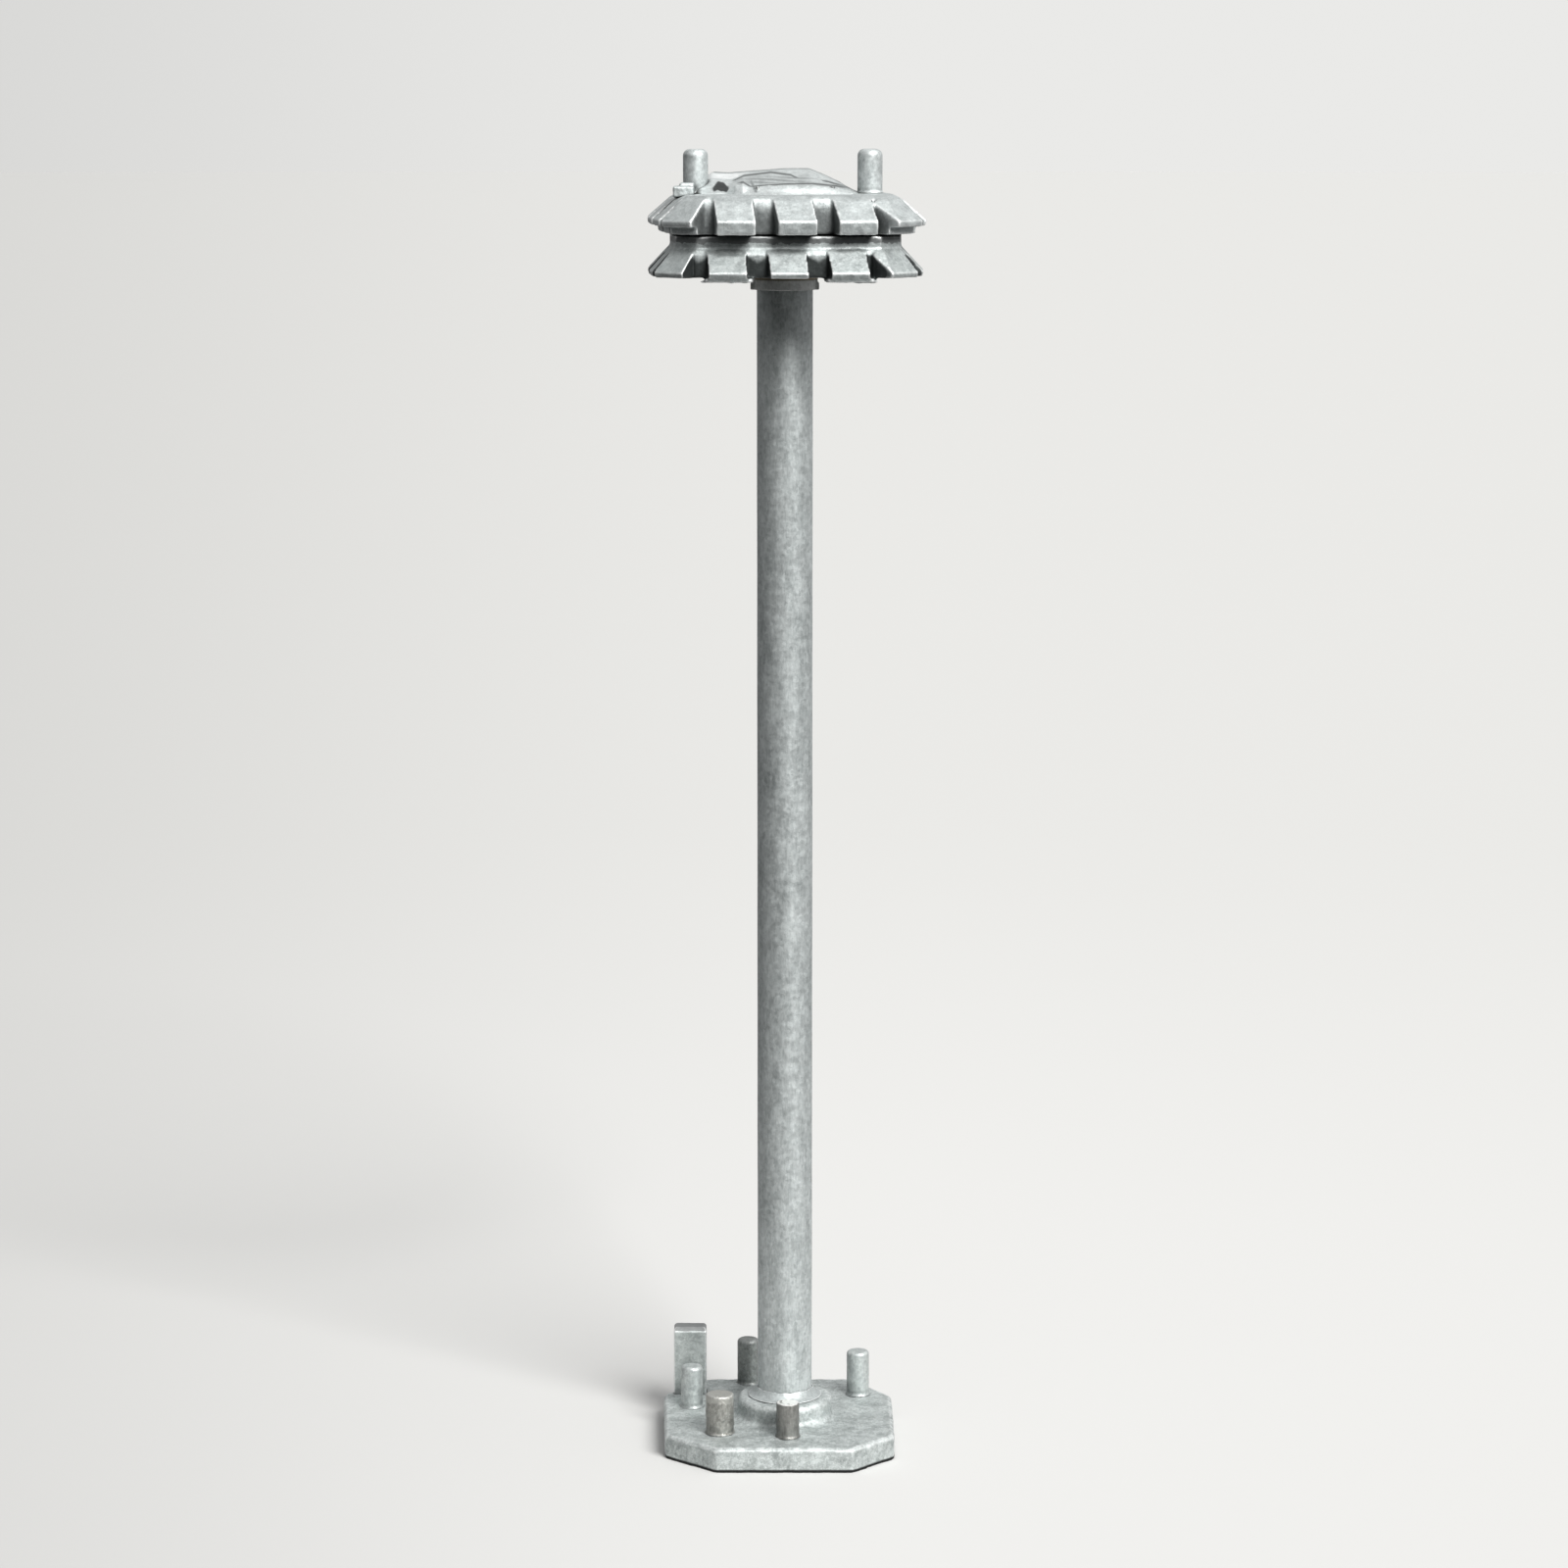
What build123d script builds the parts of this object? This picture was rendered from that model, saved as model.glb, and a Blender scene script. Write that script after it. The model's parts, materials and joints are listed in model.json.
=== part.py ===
from build123d import *
import math
import os

# A galvanised post on an eight-sided base plate. Two toothed cast rings turn on the top of the
# tube, one above the other, and a clamp nut under a cast crown holds them where they are set.
# Millimetres, +Z up. The origin is on the tube's axis at the underside of the base plate, and the
# front of the post faces -Y.

# ---- Base plate ----
plate_thick = 27.25
plate_front = 126.5
plate_back = 135.5
plate_right = 120.5
plate_left = 131.5
plate_left_flare = 5.5
front_left_cut = (56.0, 51.0)
front_right_cut = (46.0, 48.5)
rear_right_cut = (45.5, 66.0)
rear_left_cut = (47.0, 60.5)
front_corner_radius = 8.0
rear_corner_radius = 22.0
plate_bevel = 3.0
boss_wall = 22.25
boss_height = 23.2
boss_edge_radius = 7.0
boss_root_radius = 7.5
foot_weld_rise = 11.3
foot_weld_width = 17.0
weld_dish = 5.0

# ---- Tube ----
tube_radius = 30.15
tube_wall = 3.6
tube_floor = 8.0
fit_clearance = 0.02

# ---- Studs on the base: centre x, centre y, radius, height of the top above the plate ----
stud_seat = 16.0
rear_right_stud = (82.6, 76.0, 12.6, 50.9)
rear_left_stud = (-41.7, 119.5, 12.3, 52.2)
left_stud = (-104.1, 29.0, 12.05, 47.5)
front_left_stud = (-71.4, -67.9, 15.3, 44.5)
front_centre_stud = (3.3, -81.2, 12.5, 38.6)
stud_crown_radius = 4.2
worn_crown_radius = 2.4
sharp_stud_chamfer = 0.8
stud_shoulder = 3.6
stud_foot_flare = 1.4
stud_foot_height = 3.0

# ---- Tab on the base ----
tab_width = 36.4
tab_depth = 22.0
tab_height = 77.5
tab_centre_x = -107.0
tab_front_y = 73.0
tab_seat = 14.0
tab_bevel = 4.5
tab_corner_radius = 3.5

# ---- Collar under the head ----
collar_base_z = 1274.5
collar_height = 11.4
collar_wall = 3.4
collar_lug_reach = 3.2
collar_lug_width = 13.0
collar_notch = 3.6
set_screw_radius = 2.5
set_screw_socket = 1.25

# ---- Running gaps and stack ----
turn_gap = 0.3
running_clearance = 0.05
thrust_washer_thick = 2.2
spacer_washer_thick = 2.5
thrust_washer_width = 5.35
spacer_washer_width = 13.85
bush_wall = 3.3
lower_hub_wall = 6.48

# ---- Plan of both rings: a rounded square with sixteen teeth ----
ring_half_width = 146.5
corner_reach = 175.4
side_bow_deg = 4.0
bow_start = 32.0
side_tooth_place = 64.0
corner_tooth_shift = -3.5
tooth_width = 40.6
tooth_skew_deg = 7.0
tooth_run_out = 6.0
pocket_inset = 41.0
ring_rim_lean = 1.5

# ---- Lower ring ----
lower_yaw_deg = 2.1
lower_hub_foot = 3.5
lower_rim_height = 5.1
lower_slope_rise = 23.5
lower_slope_run = 22.0
neck_height = 14.5
neck_sink = 5.875
lower_root_inset = 20.0
lower_root_rounding = 7.0
neck_inset = 24.0
lower_roof_thick = 9.0
lower_hub_recess = 1.5
pad_thick = 4.2
pad_width = 50.0
pad_depth = 34.0

# ---- Upper ring ----
upper_yaw_deg = 5.6
upper_hub_foot = 0.3
upper_rim_inset = 1.6
upper_rim_height = 13.9
upper_root_inset = 28.0
upper_root_run = 3.2
upper_root_drop = 9.0
skirt_inset = 13.0
skirt_height = 7.6
skirt_start = 97.0
upper_slope_rise = 21.0
upper_slope_run = 24.0
shoulder_rise = 5.0
shoulder_run = 10.0
deck_thick = 10.0
well_gap = 6.0
well_wall = 8.0
upper_hub_height = 27.0

# ---- Clamp at the top of the tube ----
plug_length = 41.0
stud_thread_radius = 12.0
stud_thread_overlap = 3.0
clamp_washer_width = 7.85
clamp_washer_thick = 5.0
clamp_nut_across_flats = 36.0
clamp_nut_height = 14.0
cross_pin_radius = 4.0
cross_pin_drop = 18.0

# ---- Crown and what stands beside it ----
crown_rise = 26.5
crown_base_half = (88.0, 74.0)
crown_top_half = (52.0, 34.0)
crown_centre = (-8.0, 4.0)
crown_top_shift = (4.0, 22.0)
crown_pin_gap = 0.6
crown_cavity_radius = 26.0
crown_cavity_headroom = 3.0
crown_screw_radius = 3.0
crown_screw_land = 1.0
crown_screw_bite = 8.0
crown_screw_head_radius = 5.0
crown_screw_head = 4.0
crown_screw_count = 4
crown_screw_start_deg = 60.0
pin_radius = 13.35
pin_rise = 47.0
pin_dome_rise = 7.2
pin_shank_radius = 9.0
pin_flare = 1.4
pin_flare_height = 3.0
left_pin = (-95.0, -9.0)
right_pin = (90.9, 9.0)
step_block_size = (22.0, 33.0, 8.5)
step_block_upper = (15.0, 24.0, 3.5)
step_block_x = -107.0
step_block_gap = 1.25
step_block_seat = 3.0
step_dowel_radius = 3.0
step_dowel_depth = 6.0

# ---- Heights that follow from the stack ----
plate_top = plate_thick
boss_top = plate_top + boss_height
collar_top = collar_base_z + collar_height
thrust_washer_top = collar_top + thrust_washer_thick
lower_hub_base = thrust_washer_top + turn_gap
lower_base = lower_hub_base + lower_hub_foot
lower_rim = lower_base + lower_rim_height
lower_crease = lower_rim + lower_slope_rise
neck_top = lower_crease + neck_height
lower_hub_top = neck_top - lower_hub_recess
spacer_top = lower_hub_top + spacer_washer_thick
upper_hub_base = spacer_top + turn_gap
upper_base = upper_hub_base + upper_hub_foot
upper_rim = upper_base + upper_rim_height
upper_crease = upper_rim + upper_slope_rise
deck_top = upper_crease + shoulder_rise
upper_hub_top = upper_hub_base + upper_hub_height
tube_top = upper_hub_top + turn_gap
clamp_washer_top = tube_top + clamp_washer_thick
clamp_nut_top = clamp_washer_top + clamp_nut_height
thread_top = clamp_nut_top + stud_thread_overlap

# ---- Radii and places that follow from what they fit ----
tube_bore = tube_radius - tube_wall
boss_radius = tube_radius + boss_wall
thrust_washer_radius = tube_radius + thrust_washer_width
spacer_washer_radius = tube_radius + spacer_washer_width
clamp_washer_radius = tube_radius + clamp_washer_width
well_radius = clamp_washer_radius + well_gap
journal_radius = tube_radius + running_clearance
bush_outer = journal_radius + bush_wall
bush_seat = bush_outer + fit_clearance
lower_hub_radius = bush_seat + lower_hub_wall
pin_foot_radius = pin_radius + pin_flare
crown_screw_circle = well_radius + well_wall + crown_screw_head_radius + crown_screw_land
step_block_y = left_pin[1] - pin_foot_radius - step_block_gap - step_block_size[1] / 2

os.makedirs("parts", exist_ok=True)


def disc(radius, height, z, x=0.0, y=0.0):
    """A round bar standing on height z."""
    return Pos(x, y, z) * Cylinder(radius, height, align=(Align.CENTER, Align.CENTER, Align.MIN))


def tube(outer, inner, height, z):
    """A round sleeve standing on height z."""
    return disc(outer, height, z) - disc(inner, height, z)


def lathe(points):
    """A solid of revolution about Z from a closed outline of (radius, z) points."""
    return revolve(make_face(Plane.XZ * Polyline(*points, close=True)), Axis.Z)


def prism(points, z, height):
    """A straight prism on a closed outline of (x, y) points."""
    return extrude(Pos(0, 0, z) * make_face(Polyline(*points, close=True)), height)


# ---------------------------------------------------------------- base

def plate_outline():
    """The eight corners of the plate, anticlockwise from the front left."""
    left_rear = plate_left + plate_left_flare
    return [
        (-plate_left + front_left_cut[0], -plate_front),
        (plate_right - front_right_cut[0], -plate_front),
        (plate_right, -plate_front + front_right_cut[1]),
        (plate_right, plate_back - rear_right_cut[1]),
        (plate_right - rear_right_cut[0], plate_back),
        (-left_rear + rear_left_cut[0], plate_back),
        (-left_rear, plate_back - rear_left_cut[1]),
        (-plate_left, -plate_front + front_left_cut[1]),
    ]


def make_base_plate(studs):
    body = prism(plate_outline(), 0, plate_thick)
    front = body.edges().filter_by(Axis.Z).filter_by(lambda e: e.center().Y < 0)
    body = fillet(front, front_corner_radius)
    rear = body.edges().filter_by(Axis.Z).filter_by(lambda e: e.center().Y > plate_back / 3)
    body = fillet(rear, rear_corner_radius)
    body = chamfer(body.faces().sort_by(Axis.Z)[-1].edges(), plate_bevel)
    boss = fillet(disc(boss_radius, boss_height, plate_top).edges().sort_by(Axis.Z)[-1], boss_edge_radius)
    body = body + boss
    circles = body.edges().filter_by(GeomType.CIRCLE)
    boss_circles = circles.filter_by(lambda e: math.isclose(e.radius, boss_radius))
    body = fillet(boss_circles.sort_by(Axis.Z)[0], boss_root_radius)
    body -= disc(tube_radius + fit_clearance, boss_top, tube_floor)
    for x, y, radius, _ in studs:
        body -= disc(radius - stud_shoulder + fit_clearance, stud_seat, plate_top - stud_seat, x, y)
    mortise = Box(tab_width, tab_depth, tab_seat, align=(Align.CENTER, Align.MIN, Align.MAX))
    body -= Pos(tab_centre_x, tab_front_y, plate_top) * mortise
    return body


def make_foot_weld():
    """The dished weld that runs from the top of the boss up the tube."""
    inner = tube_radius + fit_clearance
    outer = inner + foot_weld_width
    top = (inner, boss_top + foot_weld_rise)
    middle = (inner + foot_weld_width / 2 - weld_dish / 2, boss_top + foot_weld_rise / 2 - weld_dish / 2)
    profile = [
        Line((inner, boss_top), (outer, boss_top)),
        Spline((outer, boss_top), middle, top),
        Line(top, (inner, boss_top)),
    ]
    return revolve(make_face([Plane.XZ * edge for edge in profile]), Axis.Z)


def stud_body(stud):
    """A round stud on a slightly flared foot, with a thinner shank let into the plate."""
    x, y, radius, rise = stud
    body = lathe([
        (0, -stud_seat),
        (radius - stud_shoulder, -stud_seat),
        (radius - stud_shoulder, 0),
        (radius + stud_foot_flare, 0),
        (radius, stud_foot_height),
        (radius, rise),
        (0, rise),
    ])
    return Pos(x, y, plate_top) * body


def stud_top_edge(body):
    return body.edges().filter_by(GeomType.CIRCLE).sort_by(Axis.Z)[-1]


def make_stud(stud, crown_radius):
    body = stud_body(stud)
    return fillet(stud_top_edge(body), crown_radius)


def make_sharp_stud(stud):
    body = stud_body(stud)
    return chamfer(stud_top_edge(body), sharp_stud_chamfer)


def make_tab():
    height = tab_seat + tab_height
    block = Box(tab_width, tab_depth, height, align=(Align.CENTER, Align.MIN, Align.MIN))
    block = Pos(tab_centre_x, tab_front_y, plate_top - tab_seat) * block
    top = block.faces().sort_by(Axis.Z)[-1]
    block = chamfer(top.edges().sort_by(Axis.Y)[0], tab_bevel)
    top = block.faces().sort_by(Axis.Z)[-1]
    sides = top.edges().filter_by(Axis.Y)
    return fillet(sides, tab_corner_radius)


# ---------------------------------------------------------------- tube, collar and clamp

def make_post_tube():
    body = tube(tube_radius, tube_bore, tube_top - tube_floor, tube_floor)
    return body - cross_hole(cross_pin_radius + fit_clearance)


def cross_hole(radius):
    """A bar across the tube where the cross pin goes."""
    z = tube_top - cross_pin_drop
    return Pos(0, 0, z) * Rot(90, 0, 0) * Cylinder(radius, 2 * tube_radius)


def make_top_plug():
    body = disc(tube_bore - fit_clearance, plug_length, tube_top - plug_length)
    body += disc(stud_thread_radius, thread_top - tube_top, tube_top)
    return body - cross_hole(cross_pin_radius + fit_clearance)


def make_cross_pin():
    length = 2 * (tube_radius - running_clearance)
    z = tube_top - cross_pin_drop
    pin = Pos(0, 0, z) * Rot(90, 0, 0) * Cylinder(cross_pin_radius, length)
    return pin & disc(tube_radius - running_clearance, 4 * cross_pin_radius, z - 2 * cross_pin_radius)


def make_clamp_washer():
    return tube(clamp_washer_radius, stud_thread_radius + fit_clearance, clamp_washer_thick, tube_top)


def make_clamp_nut():
    hexagon = RegularPolygon(clamp_nut_across_flats / 2, 6, major_radius=False)
    body = extrude(Pos(0, 0, clamp_washer_top) * hexagon, clamp_nut_height)
    return body - disc(stud_thread_radius + fit_clearance, clamp_nut_height, clamp_washer_top)


def lug_angles():
    return [0.0, 180.0]


def make_head_collar():
    """A ring round the tube with a stepped lug for a set screw on each side."""
    outer = tube_radius + collar_wall
    body = disc(outer, collar_height, collar_base_z)
    lug = Box(outer + collar_lug_reach, collar_lug_width, collar_height,
              align=(Align.MIN, Align.CENTER, Align.MIN))
    step = Box(collar_lug_reach, collar_lug_width, collar_notch, align=(Align.MIN, Align.CENTER, Align.MAX))
    for angle in lug_angles():
        body += Rot(0, 0, angle) * Pos(0, 0, collar_base_z) * lug
        body -= Rot(0, 0, angle) * Pos(outer + collar_lug_reach / 2, 0, collar_top) * step
    body -= disc(tube_radius + fit_clearance, collar_height, collar_base_z)
    for angle in lug_angles():
        body -= set_screw_bar(angle, set_screw_radius + fit_clearance, tube_radius - collar_wall)
    return body


def set_screw_bar(angle, radius, start):
    """A radial bar from a given distance off the axis to the face of a collar lug."""
    reach = tube_radius + collar_wall + collar_lug_reach - start
    z = collar_base_z + (collar_height - collar_notch) / 2
    bar = Cylinder(radius, reach, align=(Align.CENTER, Align.CENTER, Align.MIN))
    return Rot(0, 0, angle) * Pos(start, 0, z) * Rot(0, 90, 0) * bar


def make_set_screws():
    """Two short screws, flush with the lugs, that bear on the tube."""
    reach = tube_radius + collar_wall + collar_lug_reach
    z = collar_base_z + (collar_height - collar_notch) / 2
    screws = []
    for angle in lug_angles():
        key = extrude(RegularPolygon(set_screw_socket, 6), -collar_lug_reach)
        key = Rot(0, 0, angle) * Pos(reach, 0, z) * Rot(0, 90, 0) * key
        screws.append(set_screw_bar(angle, set_screw_radius, tube_radius + fit_clearance) - key)
    return screws


# ---------------------------------------------------------------- plan of the rings

def plan_sides():
    """Outward normal in degrees, distance from the axis and tooth place of each of the sixteen sides."""
    bow = math.radians(side_bow_deg)
    bowed = bow_start * math.sin(bow) + ring_half_width * math.cos(bow)
    place = (side_tooth_place - bowed * math.sin(bow)) / math.cos(bow)
    sides = []
    for quarter in range(4):
        face = -90.0 + 90.0 * quarter
        sides.append((face, ring_half_width, 0.0))
        sides.append((face + side_bow_deg, bowed, place))
        sides.append((face + 45.0, corner_reach, corner_tooth_shift))
        sides.append((face + 90.0 - side_bow_deg, bowed, -place))
    return sides


def plan_outline(inset):
    """Corners of the plan, each side moved in by the same amount."""
    sides = plan_sides()
    points = []
    for index, (angle, reach, _) in enumerate(sides):
        next_angle, next_reach, _ = sides[(index + 1) % len(sides)]
        a, b = math.radians(angle), math.radians(next_angle)
        p, q = reach - inset, next_reach - inset
        turn = math.sin(b - a)
        x = (p * math.sin(b) - q * math.sin(a)) / turn
        y = (q * math.cos(a) - p * math.cos(b)) / turn
        points.append((x, y))
    return points


def plan_prism(inset, z, height):
    return prism(plan_outline(inset), z, height)


def plan_loft(levels):
    """A stack of straight-sided tapers through (inset, z) levels."""
    faces = [Pos(0, 0, z) * make_face(Polyline(*plan_outline(inset), close=True)) for inset, z in levels]
    return loft(faces, ruled=True)


def tooth_plan(side, depth):
    """Outline of one tooth: straight flanks, both leaning round the ring by the same angle."""
    angle, reach, offset = side
    normal = Vector(math.cos(math.radians(angle)), math.sin(math.radians(angle)))
    along = Vector(-normal.Y, normal.X)
    lean = math.radians(angle + tooth_skew_deg)
    way_out = Vector(math.cos(lean), math.sin(lean))
    centre = normal * reach + along * offset
    half = along * (tooth_width / 2)
    corners = [
        centre - half - way_out * depth,
        centre - half + way_out * tooth_run_out,
        centre + half + way_out * tooth_run_out,
        centre + half - way_out * depth,
    ]
    return [(corner.X, corner.Y) for corner in corners]


def tooth_mask(root_levels, z, height):
    """The root of the ring and all its teeth, as upright shapes to cut a tapered ring with."""
    mask = plan_loft(root_levels)
    depth = root_levels[0][0] + tooth_run_out
    for side in plan_sides():
        mask += prism(tooth_plan(side, depth), z, height)
    return mask


def rolled_root(inset, run, drop, z, top, end):
    """Levels of the wall between the teeth, with its top edge rolled over in two flats."""
    return [
        (inset, z),
        (inset, top - drop),
        (inset + run / 3, top - drop / 3),
        (inset + run, top),
        (inset + run, end),
    ]


# ---------------------------------------------------------------- lower ring

def make_lower_ring():
    levels = [(ring_rim_lean, lower_base), (0.0, lower_rim), (lower_slope_run, lower_crease)]
    root_top = lower_crease + lower_root_rounding / 3
    rounding = lower_root_rounding
    root = rolled_root(lower_root_inset, rounding, rounding, lower_base, root_top, neck_top)
    ring = plan_loft(levels) & tooth_mask(root, lower_base, neck_top - lower_base)
    ring += plan_loft(root)
    ring -= plan_prism(0, root_top, neck_height)
    neck_foot = lower_crease - neck_sink
    ring += plan_prism(neck_inset, neck_foot, neck_top - neck_foot)
    ring -= plan_prism(pocket_inset, lower_base, neck_top - lower_roof_thick - lower_base)
    ring += disc(lower_hub_radius, lower_hub_top - lower_hub_base, lower_hub_base)
    ring -= disc(spacer_washer_radius + turn_gap, lower_hub_recess, lower_hub_top)
    ring -= disc(bush_seat, lower_hub_top - lower_hub_base, lower_hub_base)
    for side in plan_sides():
        angle, _, offset = side
        front = math.isclose(math.sin(math.radians(angle)), -math.cos(math.radians(side_bow_deg)))
        if front and abs(offset) > tooth_width:
            ring += drip_pad(side)
    return Rot(0, 0, lower_yaw_deg) * ring


def drip_pad(side):
    """The thick pad of metal under the foot of a front tooth."""
    angle, reach, offset = side
    pad = Box(pad_depth, pad_width, pad_thick, align=(Align.MAX, Align.CENTER, Align.MAX))
    pad = fillet(pad.edges().filter_by(Axis.Z), pad_thick)
    return Rot(0, 0, angle) * Pos(reach - 2 * ring_rim_lean, offset, lower_base) * pad


def make_lower_bush():
    return tube(bush_outer, journal_radius, lower_hub_top - lower_hub_base, lower_hub_base)


def make_thrust_washer():
    return tube(thrust_washer_radius, tube_radius + fit_clearance, thrust_washer_thick, collar_top)


def make_spacer_washer():
    return tube(spacer_washer_radius, journal_radius, spacer_washer_thick, lower_hub_top)


# ---------------------------------------------------------------- upper ring

def make_upper_ring():
    levels = [
        (upper_rim_inset + ring_rim_lean, upper_base),
        (upper_rim_inset, upper_rim),
        (upper_rim_inset + upper_slope_run, upper_crease),
        (upper_rim_inset + upper_slope_run + shoulder_run, deck_top),
    ]
    onto_shoulder = upper_root_inset + upper_root_run - upper_rim_inset - upper_slope_run
    root_top = upper_crease + shoulder_rise * onto_shoulder / shoulder_run
    root = rolled_root(upper_root_inset, upper_root_run, upper_root_drop, upper_base, root_top, deck_top)
    ring = plan_loft(levels) & tooth_mask(root, upper_base, deck_top - upper_base)
    for turn in (0.0, 180.0):
        ring -= Rot(0, 0, turn) * skirt_cut()
    ring -= plan_prism(pocket_inset, upper_base, deck_top - deck_thick - upper_base)
    ring += disc(well_radius + well_wall, deck_top - upper_hub_base, upper_hub_base)
    ring -= disc(well_radius, deck_top - upper_hub_top, upper_hub_top)
    ring -= disc(bush_seat, upper_hub_height, upper_hub_base)
    ring = Rot(0, 0, upper_yaw_deg) * ring
    for x, y in (left_pin, right_pin):
        ring -= disc(pin_shank_radius + fit_clearance, deck_thick, deck_top - deck_thick, x, y)
    for x, y in crown_screw_points():
        ring -= disc(crown_screw_radius + fit_clearance, deck_thick, deck_top - deck_thick, x, y)
    x, y = step_block_x, step_block_y
    dowel_base = deck_top - step_block_seat - step_dowel_depth
    ring -= disc(step_dowel_radius + fit_clearance, step_dowel_depth, dowel_base, x, y)
    width, depth, _ = step_block_size
    bed = Box(width, depth, step_block_seat, align=(Align.CENTER, Align.CENTER, Align.MAX))
    return ring - Pos(x, y, deck_top) * bed


def skirt_cut():
    """What is cut from under the side and corner teeth, down to the skirt inside them."""
    reach = corner_reach + tooth_run_out
    block = Box(reach, 2 * reach, skirt_height, align=(Align.MIN, Align.CENTER, Align.MIN))
    return Pos(skirt_start, 0, upper_base) * block - plan_prism(skirt_inset, upper_base, skirt_height)


def make_upper_bush():
    return tube(bush_outer, journal_radius, upper_hub_height, upper_hub_base)


def crown_screw_points():
    points = []
    for index in range(crown_screw_count):
        angle = math.radians(crown_screw_start_deg + 360.0 / crown_screw_count * index)
        points.append((crown_screw_circle * math.cos(angle), crown_screw_circle * math.sin(angle)))
    return points


def make_crown_screws():
    screws = []
    under_deck = deck_top - deck_thick
    for x, y in crown_screw_points():
        screw = disc(crown_screw_radius, deck_thick + crown_screw_bite, under_deck, x, y)
        screw += disc(crown_screw_head_radius, crown_screw_head, under_deck - crown_screw_head, x, y)
        screws.append(screw)
    return screws


def make_crown():
    x, y = crown_centre
    shift_x, shift_y = crown_top_shift
    base = Pos(x, y, deck_top) * Ellipse(*crown_base_half)
    top = Pos(x + shift_x, y + shift_y, deck_top + crown_rise) * Ellipse(*crown_top_half)
    crown = loft([base, top])
    crown -= disc(crown_cavity_radius, thread_top + crown_cavity_headroom - deck_top, deck_top)
    for x, y in crown_screw_points():
        crown -= disc(crown_screw_radius + fit_clearance, crown_screw_bite, deck_top, x, y)
    for x, y in (left_pin, right_pin):
        crown -= disc(pin_foot_radius + crown_pin_gap, crown_rise, deck_top, x, y)
    return crown


def make_head_pin(centre):
    """A turned pin with a domed end, a slight flare at its foot and a shank in the deck."""
    body = lathe([
        (0, -deck_thick),
        (pin_shank_radius, -deck_thick),
        (pin_shank_radius, 0),
        (pin_foot_radius, 0),
        (pin_radius, pin_flare_height),
        (pin_radius, pin_rise),
        (0, pin_rise),
    ])
    top_edge = body.edges().filter_by(GeomType.CIRCLE).sort_by(Axis.Z)[-1]
    return Pos(centre[0], centre[1], deck_top) * fillet(top_edge, pin_dome_rise)


def make_step_block():
    """Two low steps let into the deck, with a dowel below."""
    x, y = step_block_x, step_block_y
    width, depth, height = step_block_size
    base_z = deck_top - step_block_seat
    low = Box(width, depth, height + step_block_seat, align=(Align.CENTER, Align.CENTER, Align.MIN))
    top_width, top_depth, top_height = step_block_upper
    high = Box(top_width, top_depth, top_height, align=(Align.CENTER, Align.CENTER, Align.MIN))
    shift = (width - top_width) / 2
    block = Pos(x, y, base_z) * low + Pos(x + shift, y, deck_top + height) * high
    return block + disc(step_dowel_radius, step_dowel_depth, base_z - step_dowel_depth, x, y)


# ---------------------------------------------------------------- parts

studs = [rear_right_stud, rear_left_stud, left_stud, front_left_stud, front_centre_stud]

nodes = {
    "base_plate": make_base_plate(studs),
    "foot_weld": make_foot_weld(),
    "base_stud_rear_right": make_stud(rear_right_stud, stud_crown_radius),
    "base_stud_rear_left": make_stud(rear_left_stud, stud_crown_radius),
    "base_stud_left": make_stud(left_stud, stud_crown_radius),
    "base_stud_front_left": make_stud(front_left_stud, worn_crown_radius),
    "base_stud_front_centre": make_sharp_stud(front_centre_stud),
    "locating_tab": make_tab(),
    "post_tube": make_post_tube(),
    "top_plug": make_top_plug(),
    "plug_cross_pin": make_cross_pin(),
    "clamp_washer": make_clamp_washer(),
    "clamp_nut": make_clamp_nut(),
    "head_collar": make_head_collar(),
    "collar_set_screws": make_set_screws(),
    "thrust_washer": make_thrust_washer(),
    "lower_ring": make_lower_ring(),
    "lower_bush": make_lower_bush(),
    "spacer_washer": make_spacer_washer(),
    "upper_ring": make_upper_ring(),
    "upper_bush": make_upper_bush(),
    "crown": make_crown(),
    "crown_screws": make_crown_screws(),
    "head_pin_left": make_head_pin(left_pin),
    "head_pin_right": make_head_pin(right_pin),
    "step_block": make_step_block(),
}

for name, shape in nodes.items():
    solids = shape if isinstance(shape, list) else [shape]
    export_step(Compound(children=[Part() + solid for solid in solids]), f"parts/{name}.step")
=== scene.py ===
"""Looks of the two-head base post: zinc castings, tube and studs in a pale studio."""

import json
import logging
import math
import random
from dataclasses import dataclass, field, replace
from enum import Enum

import bmesh
import bpy
import numpy as np
from bmesh.types import BMesh
from bpy.types import Material, Mesh, MeshVertex, NodeSocket, NodeTree, Object
from mathutils import Matrix, Vector, noise
from mathutils.bvhtree import BVHTree

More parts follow.
